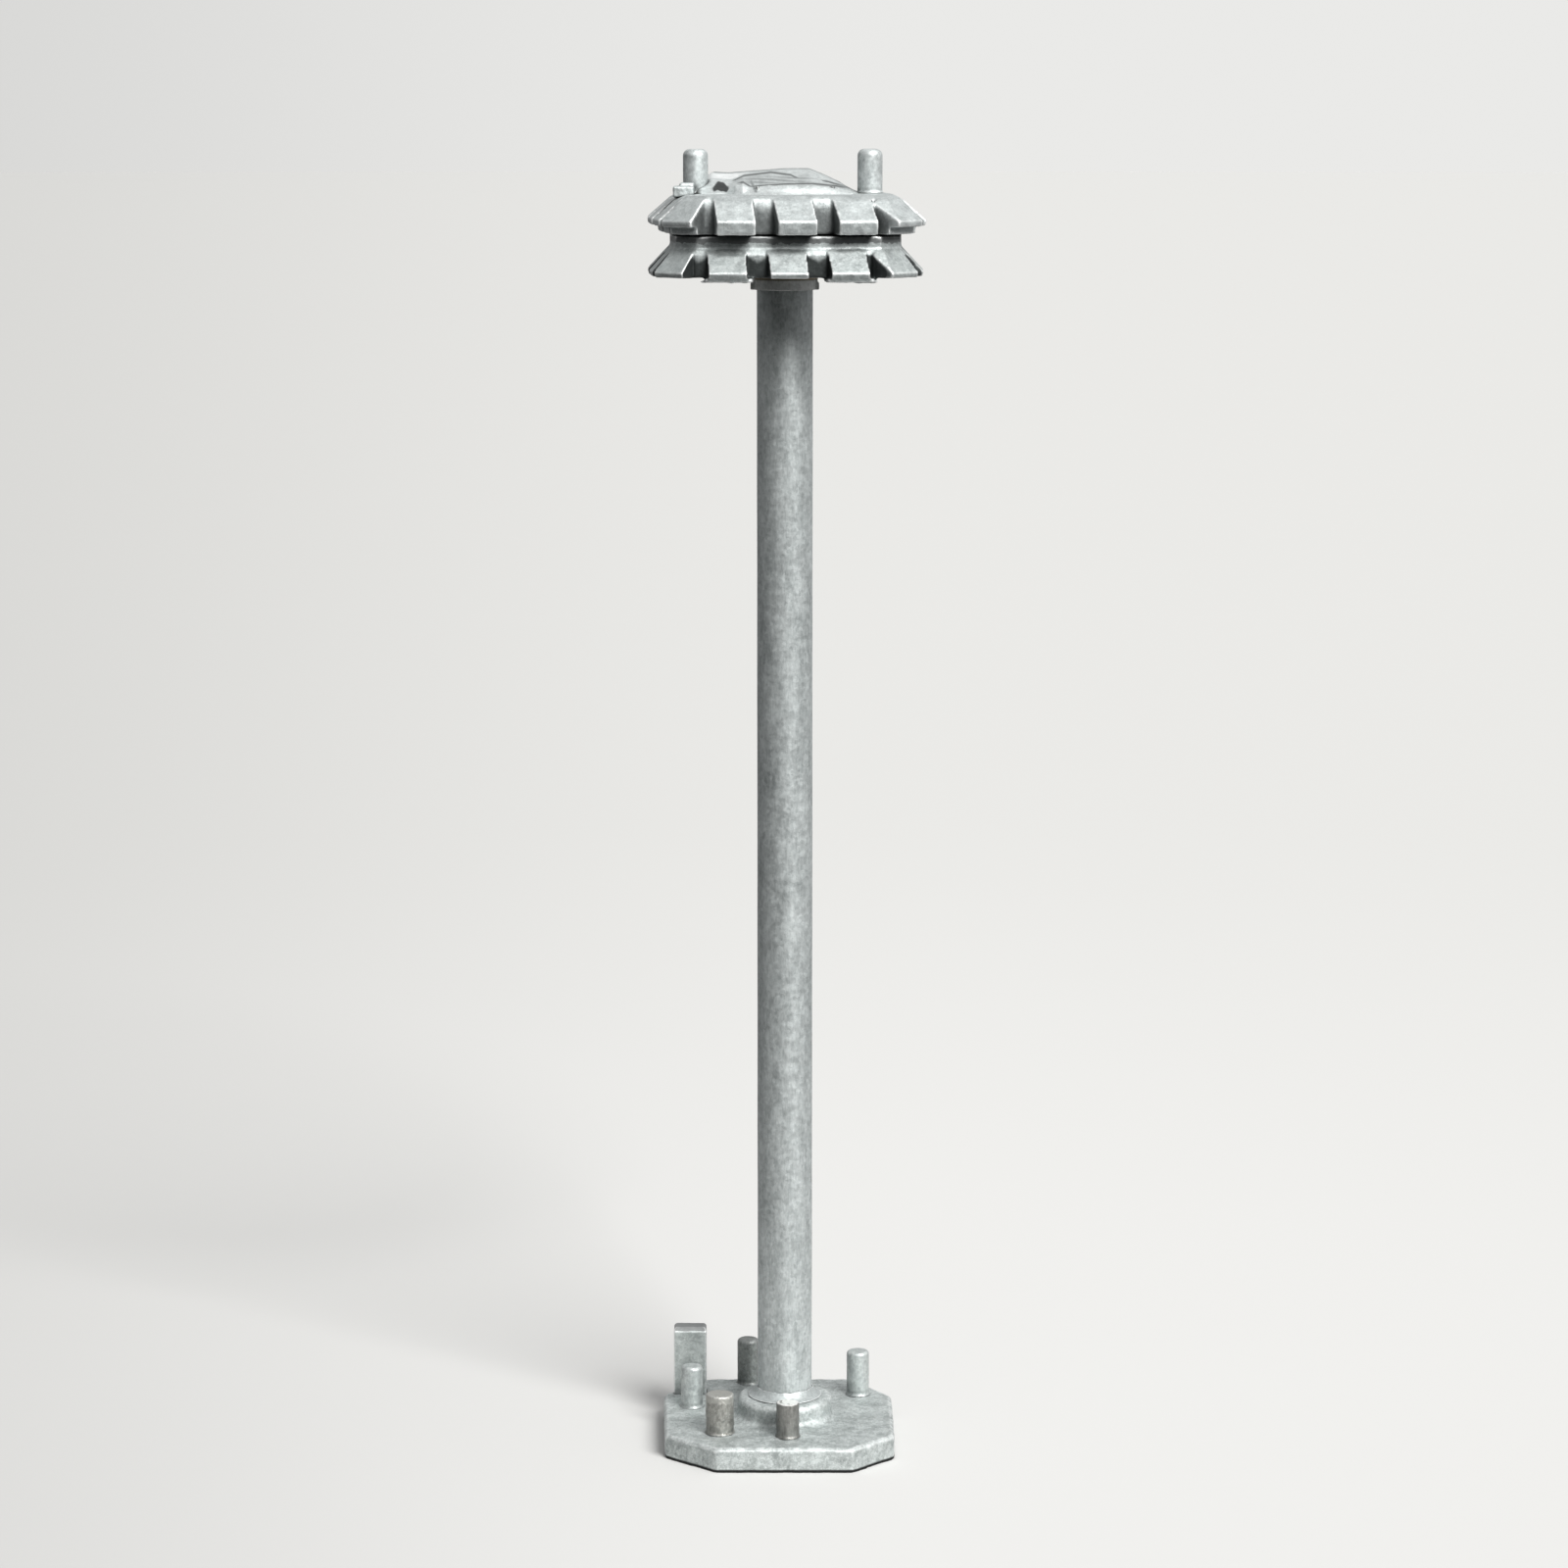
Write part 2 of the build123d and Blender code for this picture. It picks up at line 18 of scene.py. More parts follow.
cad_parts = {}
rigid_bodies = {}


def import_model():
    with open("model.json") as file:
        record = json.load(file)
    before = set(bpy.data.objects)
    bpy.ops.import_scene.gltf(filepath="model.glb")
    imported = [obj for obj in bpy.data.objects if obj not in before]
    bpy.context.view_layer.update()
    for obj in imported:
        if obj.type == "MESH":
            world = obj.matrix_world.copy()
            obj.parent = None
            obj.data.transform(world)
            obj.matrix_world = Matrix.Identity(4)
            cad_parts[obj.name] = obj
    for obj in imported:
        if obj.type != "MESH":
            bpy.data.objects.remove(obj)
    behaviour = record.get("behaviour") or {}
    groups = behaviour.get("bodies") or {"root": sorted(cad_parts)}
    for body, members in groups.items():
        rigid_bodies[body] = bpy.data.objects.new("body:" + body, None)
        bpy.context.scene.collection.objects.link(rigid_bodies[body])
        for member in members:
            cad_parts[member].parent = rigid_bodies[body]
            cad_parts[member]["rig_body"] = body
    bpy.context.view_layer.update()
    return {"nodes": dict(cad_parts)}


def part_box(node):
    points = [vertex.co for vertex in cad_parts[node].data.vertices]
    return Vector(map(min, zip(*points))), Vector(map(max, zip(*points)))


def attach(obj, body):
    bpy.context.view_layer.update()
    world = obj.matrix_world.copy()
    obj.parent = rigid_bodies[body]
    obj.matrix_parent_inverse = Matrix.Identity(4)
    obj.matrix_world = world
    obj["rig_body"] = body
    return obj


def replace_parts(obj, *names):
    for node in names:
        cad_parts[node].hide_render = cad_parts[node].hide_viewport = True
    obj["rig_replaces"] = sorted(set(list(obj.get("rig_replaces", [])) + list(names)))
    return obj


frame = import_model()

LOG = logging.getLogger("base_post")
MM = 0.001
SEED = 41
# Vertex attributes: painted shade from occlusion, painted shade on slot walls, and the crown's painted
# shading with its darker marks.
PAINTED_SHADE = "painted_shade"
SLOT_SHADE = "slot"
PAINTED_SHADING = "painted_shading"
TINY = 1e-9
BLACK, WHITE = (0.0, 0.0, 0.0), (1.0, 1.0, 1.0)
MIX_FACTOR, MIX_A, MIX_B, MIX_RESULT = 0, 6, 7, 2

CLOUD_WEIGHT, CRYSTAL_WEIGHT, GRAIN_WEIGHT = 0.9, 0.22, 0.75
MOTTLE_MIDDLE, MOTTLE_GAIN, MOTTLE_LEVEL = 0.94, 1.9, 0.56
SPECK_SIZE, SPECK_BAND = 2.4 * MM, (0.63, 0.74)
# Painted glints: small bright specks in the painted light tone.
GLINT_SIZE, GLINT_BAND, GLINT_SHARE = 1.7 * MM, (0.66, 0.76), 0.6
WANDER_SIZE, WANDER_REACH = 7 * MM, 9
# Pointiness bands: painted highlights on sharp edges, and painted shade in creases.
EDGE_HIGHLIGHT_BAND, CREASE_SHADE_BAND = (0.505, 0.555), (0.49, 0.42)
COMB_SIZE, COMB_DRAW, UPRIGHT_BAND = 1.6 * MM, 0.12, (0.35, 0.12)
# Painted contact shadow: share of its height that is fully dark.
CONTACT_SHADOW_FADE = 0.55
POLISH_SHARE, POLISH_BAND = 0.6, (0.3, 0.7)
NOISE_ROUGH, NOISE_STEP, NOISE_LAYERS, PUSH_LIMIT = 0.7, 2.1, 3, 1.2
SKEW_Y, SKEW_Z = 2.3, -1.7

Pair = tuple[float, float]
Triple = tuple[float, float, float]
Colour = Triple


# ---------------------------------------------------------------- shader maths


class Signal:
    """One output socket of a shader node; its operators add Math nodes."""

    def __init__(self, graph: "Graph", socket: NodeSocket) -> None:
        """Keeps the socket and the graph that it belongs to."""
        self.graph = graph
        self.socket = socket

    def _math(self, operation: str, *values: "Signal | float", clamp: bool = False) -> "Signal":
        """Adds one Math node, with values in its sockets in order; clamp keeps it from 0 to 1."""
        settings = {"operation": operation, "use_clamp": clamp}
        return self.graph.add("ShaderNodeMath", settings, dict(enumerate(values)))

    def __add__(self, other: "Signal | float") -> "Signal":
        """This plus other."""
        return self._math("ADD", self, other)

    __radd__ = __add__

    def __sub__(self, other: "Signal | float") -> "Signal":
        """This minus other."""
        return self._math("SUBTRACT", self, other)

    def __rsub__(self, other: float) -> "Signal":
        """Other minus this."""
        return self._math("SUBTRACT", other, self)

    def __mul__(self, other: "Signal | float") -> "Signal":
        """This times other."""
        return self._math("MULTIPLY", self, other)

    __rmul__ = __mul__

    def __truediv__(self, other: "Signal | float") -> "Signal":
        """This over other."""
        return self._math("DIVIDE", self, other)

    def size(self) -> "Signal":
        """This without its sign."""
        return self._math("ABSOLUTE", self)

    def axis(self, name: str) -> "Signal":
        """One coordinate of this vector: X, Y or Z."""
        return self.graph.add("ShaderNodeSeparateXYZ", {}, {"Vector": self}, name)

    def clamped(self) -> "Signal":
        """This, kept from 0 to 1."""
        return self._math("ADD", self, 0.0, clamp=True)

    def between(self, low: float, high: float) -> "Signal":
        """Rises smoothly from 0 to 1 as this goes from low to high.

        Args:
            low: value that gives 0.
            high: value that gives 1; a high below low makes it fall instead.

        Returns:
            The mask.
        """
        flipped = high < low
        ends = (high, low) if flipped else (low, high)
        settings = {"interpolation_type": "SMOOTHSTEP"}
        inputs = {"Value": self, "From Min": ends[0], "From Max": ends[1]}
        rise = self.graph.add("ShaderNodeMapRange", settings, inputs)
        return 1.0 - rise if flipped else rise


class Graph:
    """A node tree being built: of a material or of the world."""

    def __init__(self, tree: NodeTree) -> None:
        """Takes over the tree and its own first nodes."""
        self.tree = tree

    def add(self, kind: str, settings: dict | None = None, inputs: dict | None = None,
            output: int | str = 0) -> Signal:
        """Adds any node.

        Args:
            kind: the node's type name.
            settings: its own options, set first.
            inputs: value or Signal for each socket, by name or number.
            output: which output socket to hand back.

        Returns:
            That output socket.
        """
        node = self.tree.nodes.new(kind)
        for name, value in (settings or {}).items():
            setattr(node, name, value)
        for name, value in (inputs or {}).items():
            self.wire(node.inputs[name], value)
        return Signal(self, node.outputs[output])

    def wire(self, socket: NodeSocket, value: "Signal | float | tuple") -> None:
        """Links or sets one socket.

        Args:
            socket: the input socket.
            value: a Signal to link, or a constant.
        """
        if isinstance(value, Signal):
            self.tree.links.new(value.socket, socket)
        elif socket.type == "RGBA":
            socket.default_value = (*value[:3], 1.0)
        else:
            socket.default_value = value

    def blend(self, factor: Signal | float, first: Signal | Colour, second: Signal | Colour) -> Signal:
        """Mixes two colours: a factor of 0 gives the first and 1 the second."""
        inputs = {MIX_FACTOR: factor, MIX_A: first, MIX_B: second}
        return self.add("ShaderNodeMix", {"data_type": "RGBA"}, inputs, MIX_RESULT)

    def cloud(self, place: Signal, size: float, detail: float = 3.0, rough: float = 0.55) -> Signal:
        """Soft noise from 0 to 1, its blotches size metres wide; rough weighs the finer layers."""
        inputs = {"Vector": place, "Scale": 1.0 / size, "Detail": detail, "Roughness": rough}
        return self.add("ShaderNodeTexNoise", {}, inputs)

    def crystals(self, place: Signal, size: float) -> Signal:
        """Flat patches with a random tone each.

        Args:
            place: coordinates in metres.
            size: width of one crystal in metres.

        Returns:
            The tone of each patch, from 0 to 1.
        """
        inputs = {"Vector": place, "Scale": 1.0 / size, "Randomness": 1.0}
        colour = self.add("ShaderNodeTexVoronoi", {"feature": "F1"}, inputs, "Color")
        return self.add("ShaderNodeSeparateColor", {}, {"Color": colour}, "Red")

    def stored(self, name: str) -> Signal:
        """The number kept on each vertex under a name."""
        return self.add("ShaderNodeAttribute", {"attribute_name": name}, output="Fac")

    def stretched(self, place: Signal, across: float, along: float) -> Signal:
        """Coordinates scaled across and along Z, so that patterns can run upwards."""
        inputs = {"Vector": place, "Scale": (across, across, along)}
        return self.add("ShaderNodeMapping", {}, inputs)


# ---------------------------------------------------------------- finishes


@dataclass(frozen=True)
class Zinc:
    """A galvanised or bare metal skin with its painted light and shade; the sizes of its pattern are in
    metres.
    """

    light: Colour = (0.66, 0.70, 0.70)
    dark: Colour = (0.34, 0.37, 0.37)
    # Tone of painted light: highlights on edges, glints and the crown's bright patch.
    painted_light_tone: Colour = (0.93, 0.95, 0.95)
    # Colour of painted shade: shut-in places, slots, creases, the contact line and the crown's darker
    # marks.
    painted_shade: Colour = (0.05, 0.055, 0.055)
    patch: float = 16 * MM
    spangle: float = 3.6 * MM
    grain: float = 0.9 * MM
    run: float = 1.0
    contrast: float = 1.0
    specks: float = 0.35
    edge_highlight_share: float = 0.75
    painted_shade_share: float = 0.8
    painted_shade_span: Pair = (0.25, 0.85)
    slot_shade_share: float = 0.0
    slot_shade_span: Pair = (0.1, 0.5)
    crease_shade_share: float = 0.6
    metallic: float = 0.72
    rough: Pair = (0.46, 0.64)
    bump: float = 0.22 * MM
    striations: float = 0.0
    # From cap_height up the metal turns to the cap colour: wear on the studs, painted shade on the lower
    # ring's neck and on the tab's bevel.
    cap_height: float = 0.0
    cap: Colour = (0.55, 0.53, 0.50)
    cap_edge: float = 1.5 * MM
    # Height of the painted contact shadow along the bottom.
    contact_shadow_height: float = 0.0
    # Whether the crown's painted shading and darker marks are used.
    painted_shading_on: bool = False

    def tone(self, graph: Graph, place: Signal) -> Signal:
        """Mottle of the metal, 0 for dull and 1 for bright.

        Args:
            graph: the material being built.
            place: coordinates in metres.

        Returns:
            The mottle.
        """
        drawn = graph.stretched(place, 1.0, 1.0 / self.run)
        clouds = graph.cloud(drawn, self.patch, 5.0, 0.62)
        crystals = graph.crystals(place, self.spangle)
        grains = graph.cloud(drawn, self.grain * 2.5, 3.0, 0.7)
        mixed = clouds * CLOUD_WEIGHT + crystals * CRYSTAL_WEIGHT + grains * GRAIN_WEIGHT
        spread = (mixed - MOTTLE_MIDDLE) * (MOTTLE_GAIN * self.contrast) + MOTTLE_LEVEL
        return spread.clamped()

    def colour(self, graph: Graph, place: Signal) -> Signal:
        """Colour over the surface: mottle, specks and a top band, with painted glints, painted highlights
        on edges and painted shade in creases, hollows and slots.

        Args:
            graph: the material being built.
            place: coordinates in metres.

        Returns:
            The base colour.
        """
        shade = graph.blend(self.tone(graph, place), self.dark, self.light)
        specks = graph.cloud(place, SPECK_SIZE, 2.0, 0.5).between(*SPECK_BAND)
        shade = graph.blend(specks * self.specks, shade, self.dark)
        # Painted glints: small bright specks in the painted light tone.
        glints = graph.cloud(place, GLINT_SIZE, 1.0, 0.5).between(*GLINT_BAND)
        shade = graph.blend(glints * (GLINT_SHARE * self.specks), shade, self.painted_light_tone)
        height = place.axis("Z")
        # Top band: wear on the studs, painted shade on the lower ring's neck and on the tab's bevel.
        if self.cap_height:
            wander = (graph.cloud(place, WANDER_SIZE, 3.0) - 0.5) * (WANDER_REACH * self.cap_edge)
            painted_light_or_cap = (height + wander).between(self.cap_height, self.cap_height + self.cap_edge)
            shade = graph.blend(painted_light_or_cap, shade, self.cap)
        # Painted highlights along sharp edges.
        ridge = graph.add("ShaderNodeNewGeometry", output="Pointiness")
        shade = graph.blend(ridge.between(*EDGE_HIGHLIGHT_BAND) * self.edge_highlight_share, shade, self.painted_light_tone)
        # Painted shade in creases.
        shade = graph.blend(ridge.between(*CREASE_SHADE_BAND) * self.crease_shade_share, shade, self.painted_shade)
        # Painted shade where the surface is shut in, from the occlusion share kept on each vertex.
        hidden = graph.stored(PAINTED_SHADE)
        shade = graph.blend(hidden.between(*self.painted_shade_span) * self.painted_shade_share, shade, self.painted_shade)
        # Painted shade on the upright walls of narrow slots.
        if self.slot_shade_share:
            inside = graph.stored(SLOT_SHADE)
            shade = graph.blend(inside.between(*self.slot_shade_span) * self.slot_shade_share, shade, self.painted_shade)
        # The crown's painted shade and darker marks, and its painted light where the value is below zero.
        if self.painted_shading_on:
            painted_shading = graph.stored(PAINTED_SHADING)
            shade = graph.blend(painted_shading.clamped(), shade, self.painted_shade)
            shade = graph.blend((painted_shading * -1.0).clamped(), shade, self.painted_light_tone)
        # Painted contact shadow along the bottom.
        if self.contact_shadow_height:
            under = height.between(self.contact_shadow_height, CONTACT_SHADOW_FADE * self.contact_shadow_height)
            shade = graph.blend(under, shade, self.painted_shade)
        return shade

    def relief(self, graph: Graph, place: Signal) -> Signal:
        """Fine relief of the skin as a bumped normal.

        Args:
            graph: the material being built.
            place: coordinates in metres.

        Returns:
            The normal.
        """
        height = graph.cloud(place, self.grain * 3, 4.0, 0.6) + graph.cloud(place, self.grain, 1.0) * 0.3
        if self.striations:
            combed = graph.cloud(graph.stretched(place, 1.0, COMB_DRAW), COMB_SIZE, 2.0)
            facing = graph.add("ShaderNodeNewGeometry", output="Normal")
            tilt = facing.axis("Z")
            upright = tilt.size().between(*UPRIGHT_BAND)
            height = height + combed * upright * self.striations
        inputs = {"Strength": 1.0, "Distance": self.bump, "Height": height}
        return graph.add("ShaderNodeBump", {}, inputs)

    def material(self, name: str) -> Material:
        """Builds the material.

        Args:
            name: what the material is called.

        Returns:
            The material.
        """
        made = bpy.data.materials.new(name)
        made.use_nodes = True
        graph = Graph(made.node_tree)
        shader = made.node_tree.nodes["Principled BSDF"]
        place = graph.add("ShaderNodeTexCoord", output="Object")
        smooth, dull = self.rough
        polish = graph.cloud(place, self.patch * POLISH_SHARE, 4.0).between(*POLISH_BAND)
        polish = polish * (dull - smooth) + smooth
        graph.wire(shader.inputs["Base Color"], self.colour(graph, place))
        graph.wire(shader.inputs["Roughness"], polish)
        graph.wire(shader.inputs["Metallic"], self.metallic)
        graph.wire(shader.inputs["Normal"], self.relief(graph, place))
        return made


# The plate gets a painted contact shadow along its bottom edge.
CAST_PLATE = Zinc(patch=22 * MM, specks=0.6, contact_shadow_height=4.6 * MM, striations=0.2, contrast=1.2,
                  edge_highlight_share=0.95, painted_shade_share=0.4, light=(0.61, 0.65, 0.645), dark=(0.31, 0.34, 0.335),
                  painted_shade=(0.02, 0.022, 0.022), rough=(0.54, 0.72))
CAST_UPPER = Zinc(patch=18 * MM, striations=1.0, specks=0.25, edge_highlight_share=1.0, contrast=0.7,
                  painted_shade_span=(0.34, 0.85), slot_shade_share=0.66, light=(0.64, 0.68, 0.68))
# Its cap colour is painted shade over the top of the ring round the neck.
CAST_LOWER = Zinc(patch=18 * MM, striations=0.6, specks=0.25, edge_highlight_share=1.0, contrast=0.8,
                  painted_shade_span=(0.22, 0.7), slot_shade_share=0.95, slot_shade_span=(0.02, 0.22),
                  painted_shade=(0.03, 0.035, 0.035), light=(0.58, 0.62, 0.615), dark=(0.30, 0.33, 0.33),
                  cap=(0.20, 0.21, 0.21), cap_edge=1.0 * MM)
CAST_CROWN = Zinc(light=(0.74, 0.78, 0.78), dark=(0.42, 0.45, 0.45), patch=12 * MM, specks=0.15,
                  edge_highlight_share=0.5, contrast=0.6, bump=0.12 * MM, crease_shade_share=0.9, painted_shading_on=True)
STEP_ZINC = replace(CAST_CROWN, painted_shading_on=False, edge_highlight_share=0.1, light=(0.60, 0.64, 0.64))
WELD_ZINC = Zinc(light=(0.56, 0.60, 0.60), dark=(0.38, 0.41, 0.41), specks=0.3, bump=0.15 * MM,
                 painted_shade_share=0.6)
TUBE_ZINC = Zinc(patch=15 * MM, run=4.0, specks=0.25, edge_highlight_share=0.0, crease_shade_share=0.0,
                 contrast=0.9, bump=0.1 * MM, painted_shade_share=0.3)
STUD_ZINC = Zinc(patch=9 * MM, run=1.6, edge_highlight_share=0.8, contrast=0.9, light=(0.60, 0.64, 0.63))
# A darker copy of the stud zinc: painted shade for a stud in shadow.
SHADED_STUD_ZINC = replace(STUD_ZINC, light=(0.34, 0.36, 0.35), dark=(0.17, 0.18, 0.175))
# Its cap colour is painted shade on the tab's top bevel.
TAB_ZINC = Zinc(patch=20 * MM, light=(0.58, 0.62, 0.61), dark=(0.32, 0.35, 0.345), specks=0.3,
                cap=(0.27, 0.28, 0.28), cap_edge=0.4 * MM)
PIN_ZINC = Zinc(patch=12 * MM, run=2.0, edge_highlight_share=0.5, contrast=0.8, bump=0.1 * MM,
                light=(0.74, 0.78, 0.78))
BARE_STEEL = Zinc(light=(0.31, 0.31, 0.295), dark=(0.17, 0.17, 0.16), painted_light_tone=(0.86, 0.86, 0.84),
                  run=5.0, patch=5 * MM, specks=0.15, metallic=0.75, rough=(0.4, 0.6),
                  edge_highlight_share=0.2, cap=(0.84, 0.84, 0.82), cap_edge=0.2 * MM)
WORN_STEEL = Zinc(light=(0.38, 0.38, 0.355), dark=(0.20, 0.20, 0.185), run=2.5, patch=8 * MM,
                  metallic=0.7, rough=(0.42, 0.62), edge_highlight_share=0.35,
                  cap=(0.40, 0.40, 0.375))
# The collar's painted light tone is darker than its metal, so its edges are painted darker.
COLLAR_DARK = Zinc(light=(0.86, 0.87, 0.86), dark=(0.58, 0.59, 0.58), painted_light_tone=(0.5, 0.5, 0.5),
                   run=2.0, patch=7 * MM, specks=0.2, metallic=0.6, painted_shade_share=0.0,
                   crease_shade_share=0.3)
TURNED_STEEL = Zinc(light=(0.48, 0.48, 0.47), dark=(0.30, 0.30, 0.30), spangle=1.2 * MM,
                    patch=6 * MM, rough=(0.25, 0.4), metallic=1.0, bump=0.05 * MM)
FASTENER_STEEL = Zinc(light=(0.40, 0.40, 0.39), dark=(0.20, 0.20, 0.20), spangle=1.0 * MM,
                      patch=4 * MM, rough=(0.3, 0.45), metallic=1.0, bump=0.05 * MM)
BEARING_BRONZE = Zinc(light=(0.30, 0.25, 0.18), dark=(0.12, 0.10, 0.08), painted_light_tone=(0.42, 0.36, 0.27),
                      spangle=1.0 * MM, patch=6 * MM, rough=(0.4, 0.55), metallic=0.9,
                      bump=0.05 * MM)


# ---------------------------------------------------------------- mesh work


def link(mesh: Mesh, name: str) -> Object:
    """Puts a mesh in the scene.

    Args:
        mesh: the mesh.
        name: what the piece is called.

    Returns:
        The new object.
    """
    piece = bpy.data.objects.new(name, mesh)
    bpy.context.scene.collection.objects.link(piece)
    return piece


def lathe(profile: list[Pair], at: Vector, segments: int = 64, hoop: bool = False) -> BMesh:
    """Turns a closed solid about a vertical line.

    Args:
        profile: (radius, height) pairs; the first and last lie on the line unless it is a hoop.
        at: where the line stands.
        segments: number of sides.
        hoop: join the last pair to the first.

    Returns:
        The closed mesh.
    """
    body = bmesh.new()
    rings = []
    for radius, height in profile:
        turns = segments if radius > TINY else 1
        angles = [2 * math.pi * step / turns for step in range(turns)]
        rings.append([body.verts.new((at.x + radius * math.cos(a), at.y + radius * math.sin(a),
                                      at.z + height)) for a in angles])
    for low, high in zip(rings, rings[1:] + (rings[:1] if hoop else [])):
        for step in range(segments):
            corners = [low[step % len(low)], low[(step + 1) % len(low)],
                       high[(step + 1) % len(high)], high[step % len(high)]]
            body.faces.new(list(dict.fromkeys(corners)))
    bmesh.ops.recalc_face_normals(body, faces=body.faces)
    return body


def ball(at: Vector, half: Triple) -> BMesh:
    """An ellipsoid lump.

    Args:
        at: its middle.
        half: its half sizes.

    Returns:
        The closed mesh.
    """
    body = bmesh.new()
    place = Matrix.Translation(at) @ Matrix.Diagonal((*half, 1.0))
    bmesh.ops.create_icosphere(body, subdivisions=3, radius=1.0, matrix=place)
    return body


def coordinates(mesh: Mesh, what: str = "co") -> np.ndarray:
    """Reads a vector of every vertex.

    Args:
        mesh: the mesh.
        what: co for places or normal for normals.

    Returns:
        One row for each vertex.
    """
    flat = np.empty(len(mesh.vertices) * 3, np.float32)
    mesh.vertices.foreach_get(what, flat)
    return flat.reshape(-1, 3)


def bake_modifiers(piece: Object) -> None:
    """Turns a piece's modifiers into its mesh."""
    graph = bpy.context.evaluated_depsgraph_get()
    mesh = bpy.data.meshes.new_from_object(piece.evaluated_get(graph))
    piece.modifiers.clear()
    piece.data = mesh


@dataclass(frozen=True)
class Skin:
    """How a rough surface is laid over a node's clean shape; sizes in metres."""

    voxel: float = 1.4 * MM
    smoothing: int = 3
    ripple: float = 0.25 * MM
    wave: float = 9 * MM
    keep: float = 1.0

    def lay(self, piece: Object, seed: float) -> None:
        """Rebuilds the piece as one skin with soft edges and an uneven surface.

        Args:
            piece: the piece, made of closed and overlapping shells.
            seed: which stretch of the noise it takes.
        """
        remesh = piece.modifiers.new("skin", "REMESH")
        remesh.mode = "VOXEL"
        remesh.voxel_size = self.voxel
        relax = piece.modifiers.new("relax", "SMOOTH")
        relax.factor = 0.5
        relax.iterations = self.smoothing
        bake_modifiers(piece)
        self.push(piece.data, seed)
        if self.keep < 1.0:
            thin = piece.modifiers.new("thin", "DECIMATE")
            thin.ratio = self.keep
            bake_modifiers(piece)
        piece.data.shade_smooth()

    def push(self, mesh: Mesh, seed: float) -> None:
        """Moves the vertices in and out by seeded noise.

        Args:
            mesh: the mesh to change.
            seed: which stretch of the noise it takes.
        """
        places = coordinates(mesh)
        lowest = float(places[:, 2].min())
        offset = Vector((seed, SKEW_Y * seed, SKEW_Z * seed))
        pushes = [noise.fractal(Vector(place) / self.wave + offset, NOISE_ROUGH, NOISE_STEP, NOISE_LAYERS)
                  for place in places]
        depth = np.clip(np.array(pushes, np.float32), -PUSH_LIMIT, PUSH_LIMIT) * self.ripple
        places = places + coordinates(mesh, "normal") * depth[:, None]
        places[:, 2] = np.maximum(places[:, 2], lowest)
        mesh.vertices.foreach_set("co", places.ravel().astype(np.float32))
        mesh.update()


class Dresser:
    """Makes the materials once each and puts pieces on their bodies."""

    def __init__(self) -> None:
        """Starts with no materials and no pieces."""
        self.materials: dict[str, Material] = {}
        self.pieces: list[Object] = []

    def paint(self, finish: Zinc, name: str) -> Material:
        """The material of a finish, made when first asked for.

        Args:
            finish: the finish.
            name: the material's name.

        Returns:
            The material.
        """
        if name not in self.materials:
            self.materials[name] = finish.material(name)
        return self.materials[name]

    def fit(self, piece: Object, node: str, slot: str, finish: Zinc,
            paint: str | None = None) -> None:
        """Lets a piece stand for a CAD node.

        Args:
            piece: the finished piece.
            node: the CAD node that it replaces.
            slot: the record's material slot.
            finish: its finish.
            paint: the material's name, where it isn't the slot's.
        """
        piece.data.materials.clear()
        piece.data.materials.append(self.paint(finish, paint or slot))
        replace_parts(piece, node)
        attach(piece, frame["nodes"][node]["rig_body"])
        self.pieces.append(piece)
        LOG.info("%s: %d faces", piece.name, len(piece.data.polygons))

    def coat(self, node: str, slot: str, finish: Zinc) -> None:
        """Gives a CAD node that stays in sight its finish.

        Args:
            node: the CAD node.
            slot: the record's material slot.
            finish: its finish.
        """
        part = frame["nodes"][node]
        made = self.paint(finish, slot)
        if not part.material_slots:
            part.data.materials.append(made)
        for holder in part.material_slots:
            holder.material = made
        LOG.info("%s: carried over", node)

    def cast(self, node: str, name: str, skin: Skin, seed: float, slot: str, finish: Zinc,
             lumps: tuple[BMesh, ...] = (), paint: str | None = None) -> None:
        """Lays a skin over a copy of a node's shape with its lumps, and lets it stand for the node.

        Args:
            node: the CAD node to copy.
            name: what the new piece is called.
            skin: how rough it comes out.
            seed: which stretch of the noise it takes.
            slot: the record's material slot.
            finish: its finish.
            lumps: closed meshes fused to it; they are used up.
            paint: the material's name, where it isn't the slot's.
        """
        shape = bmesh.new()
        shape.from_mesh(frame["nodes"][node].data)
        for lump in lumps:
            extra = bpy.data.meshes.new("lump")
            lump.to_mesh(extra)
            lump.free()
            shape.from_mesh(extra)
            bpy.data.meshes.remove(extra)
        mesh = bpy.data.meshes.new(name)
        shape.to_mesh(mesh)
        shape.free()
        piece = link(mesh, name)
        skin.lay(piece, seed)
        self.fit(piece, node, slot, finish, paint)


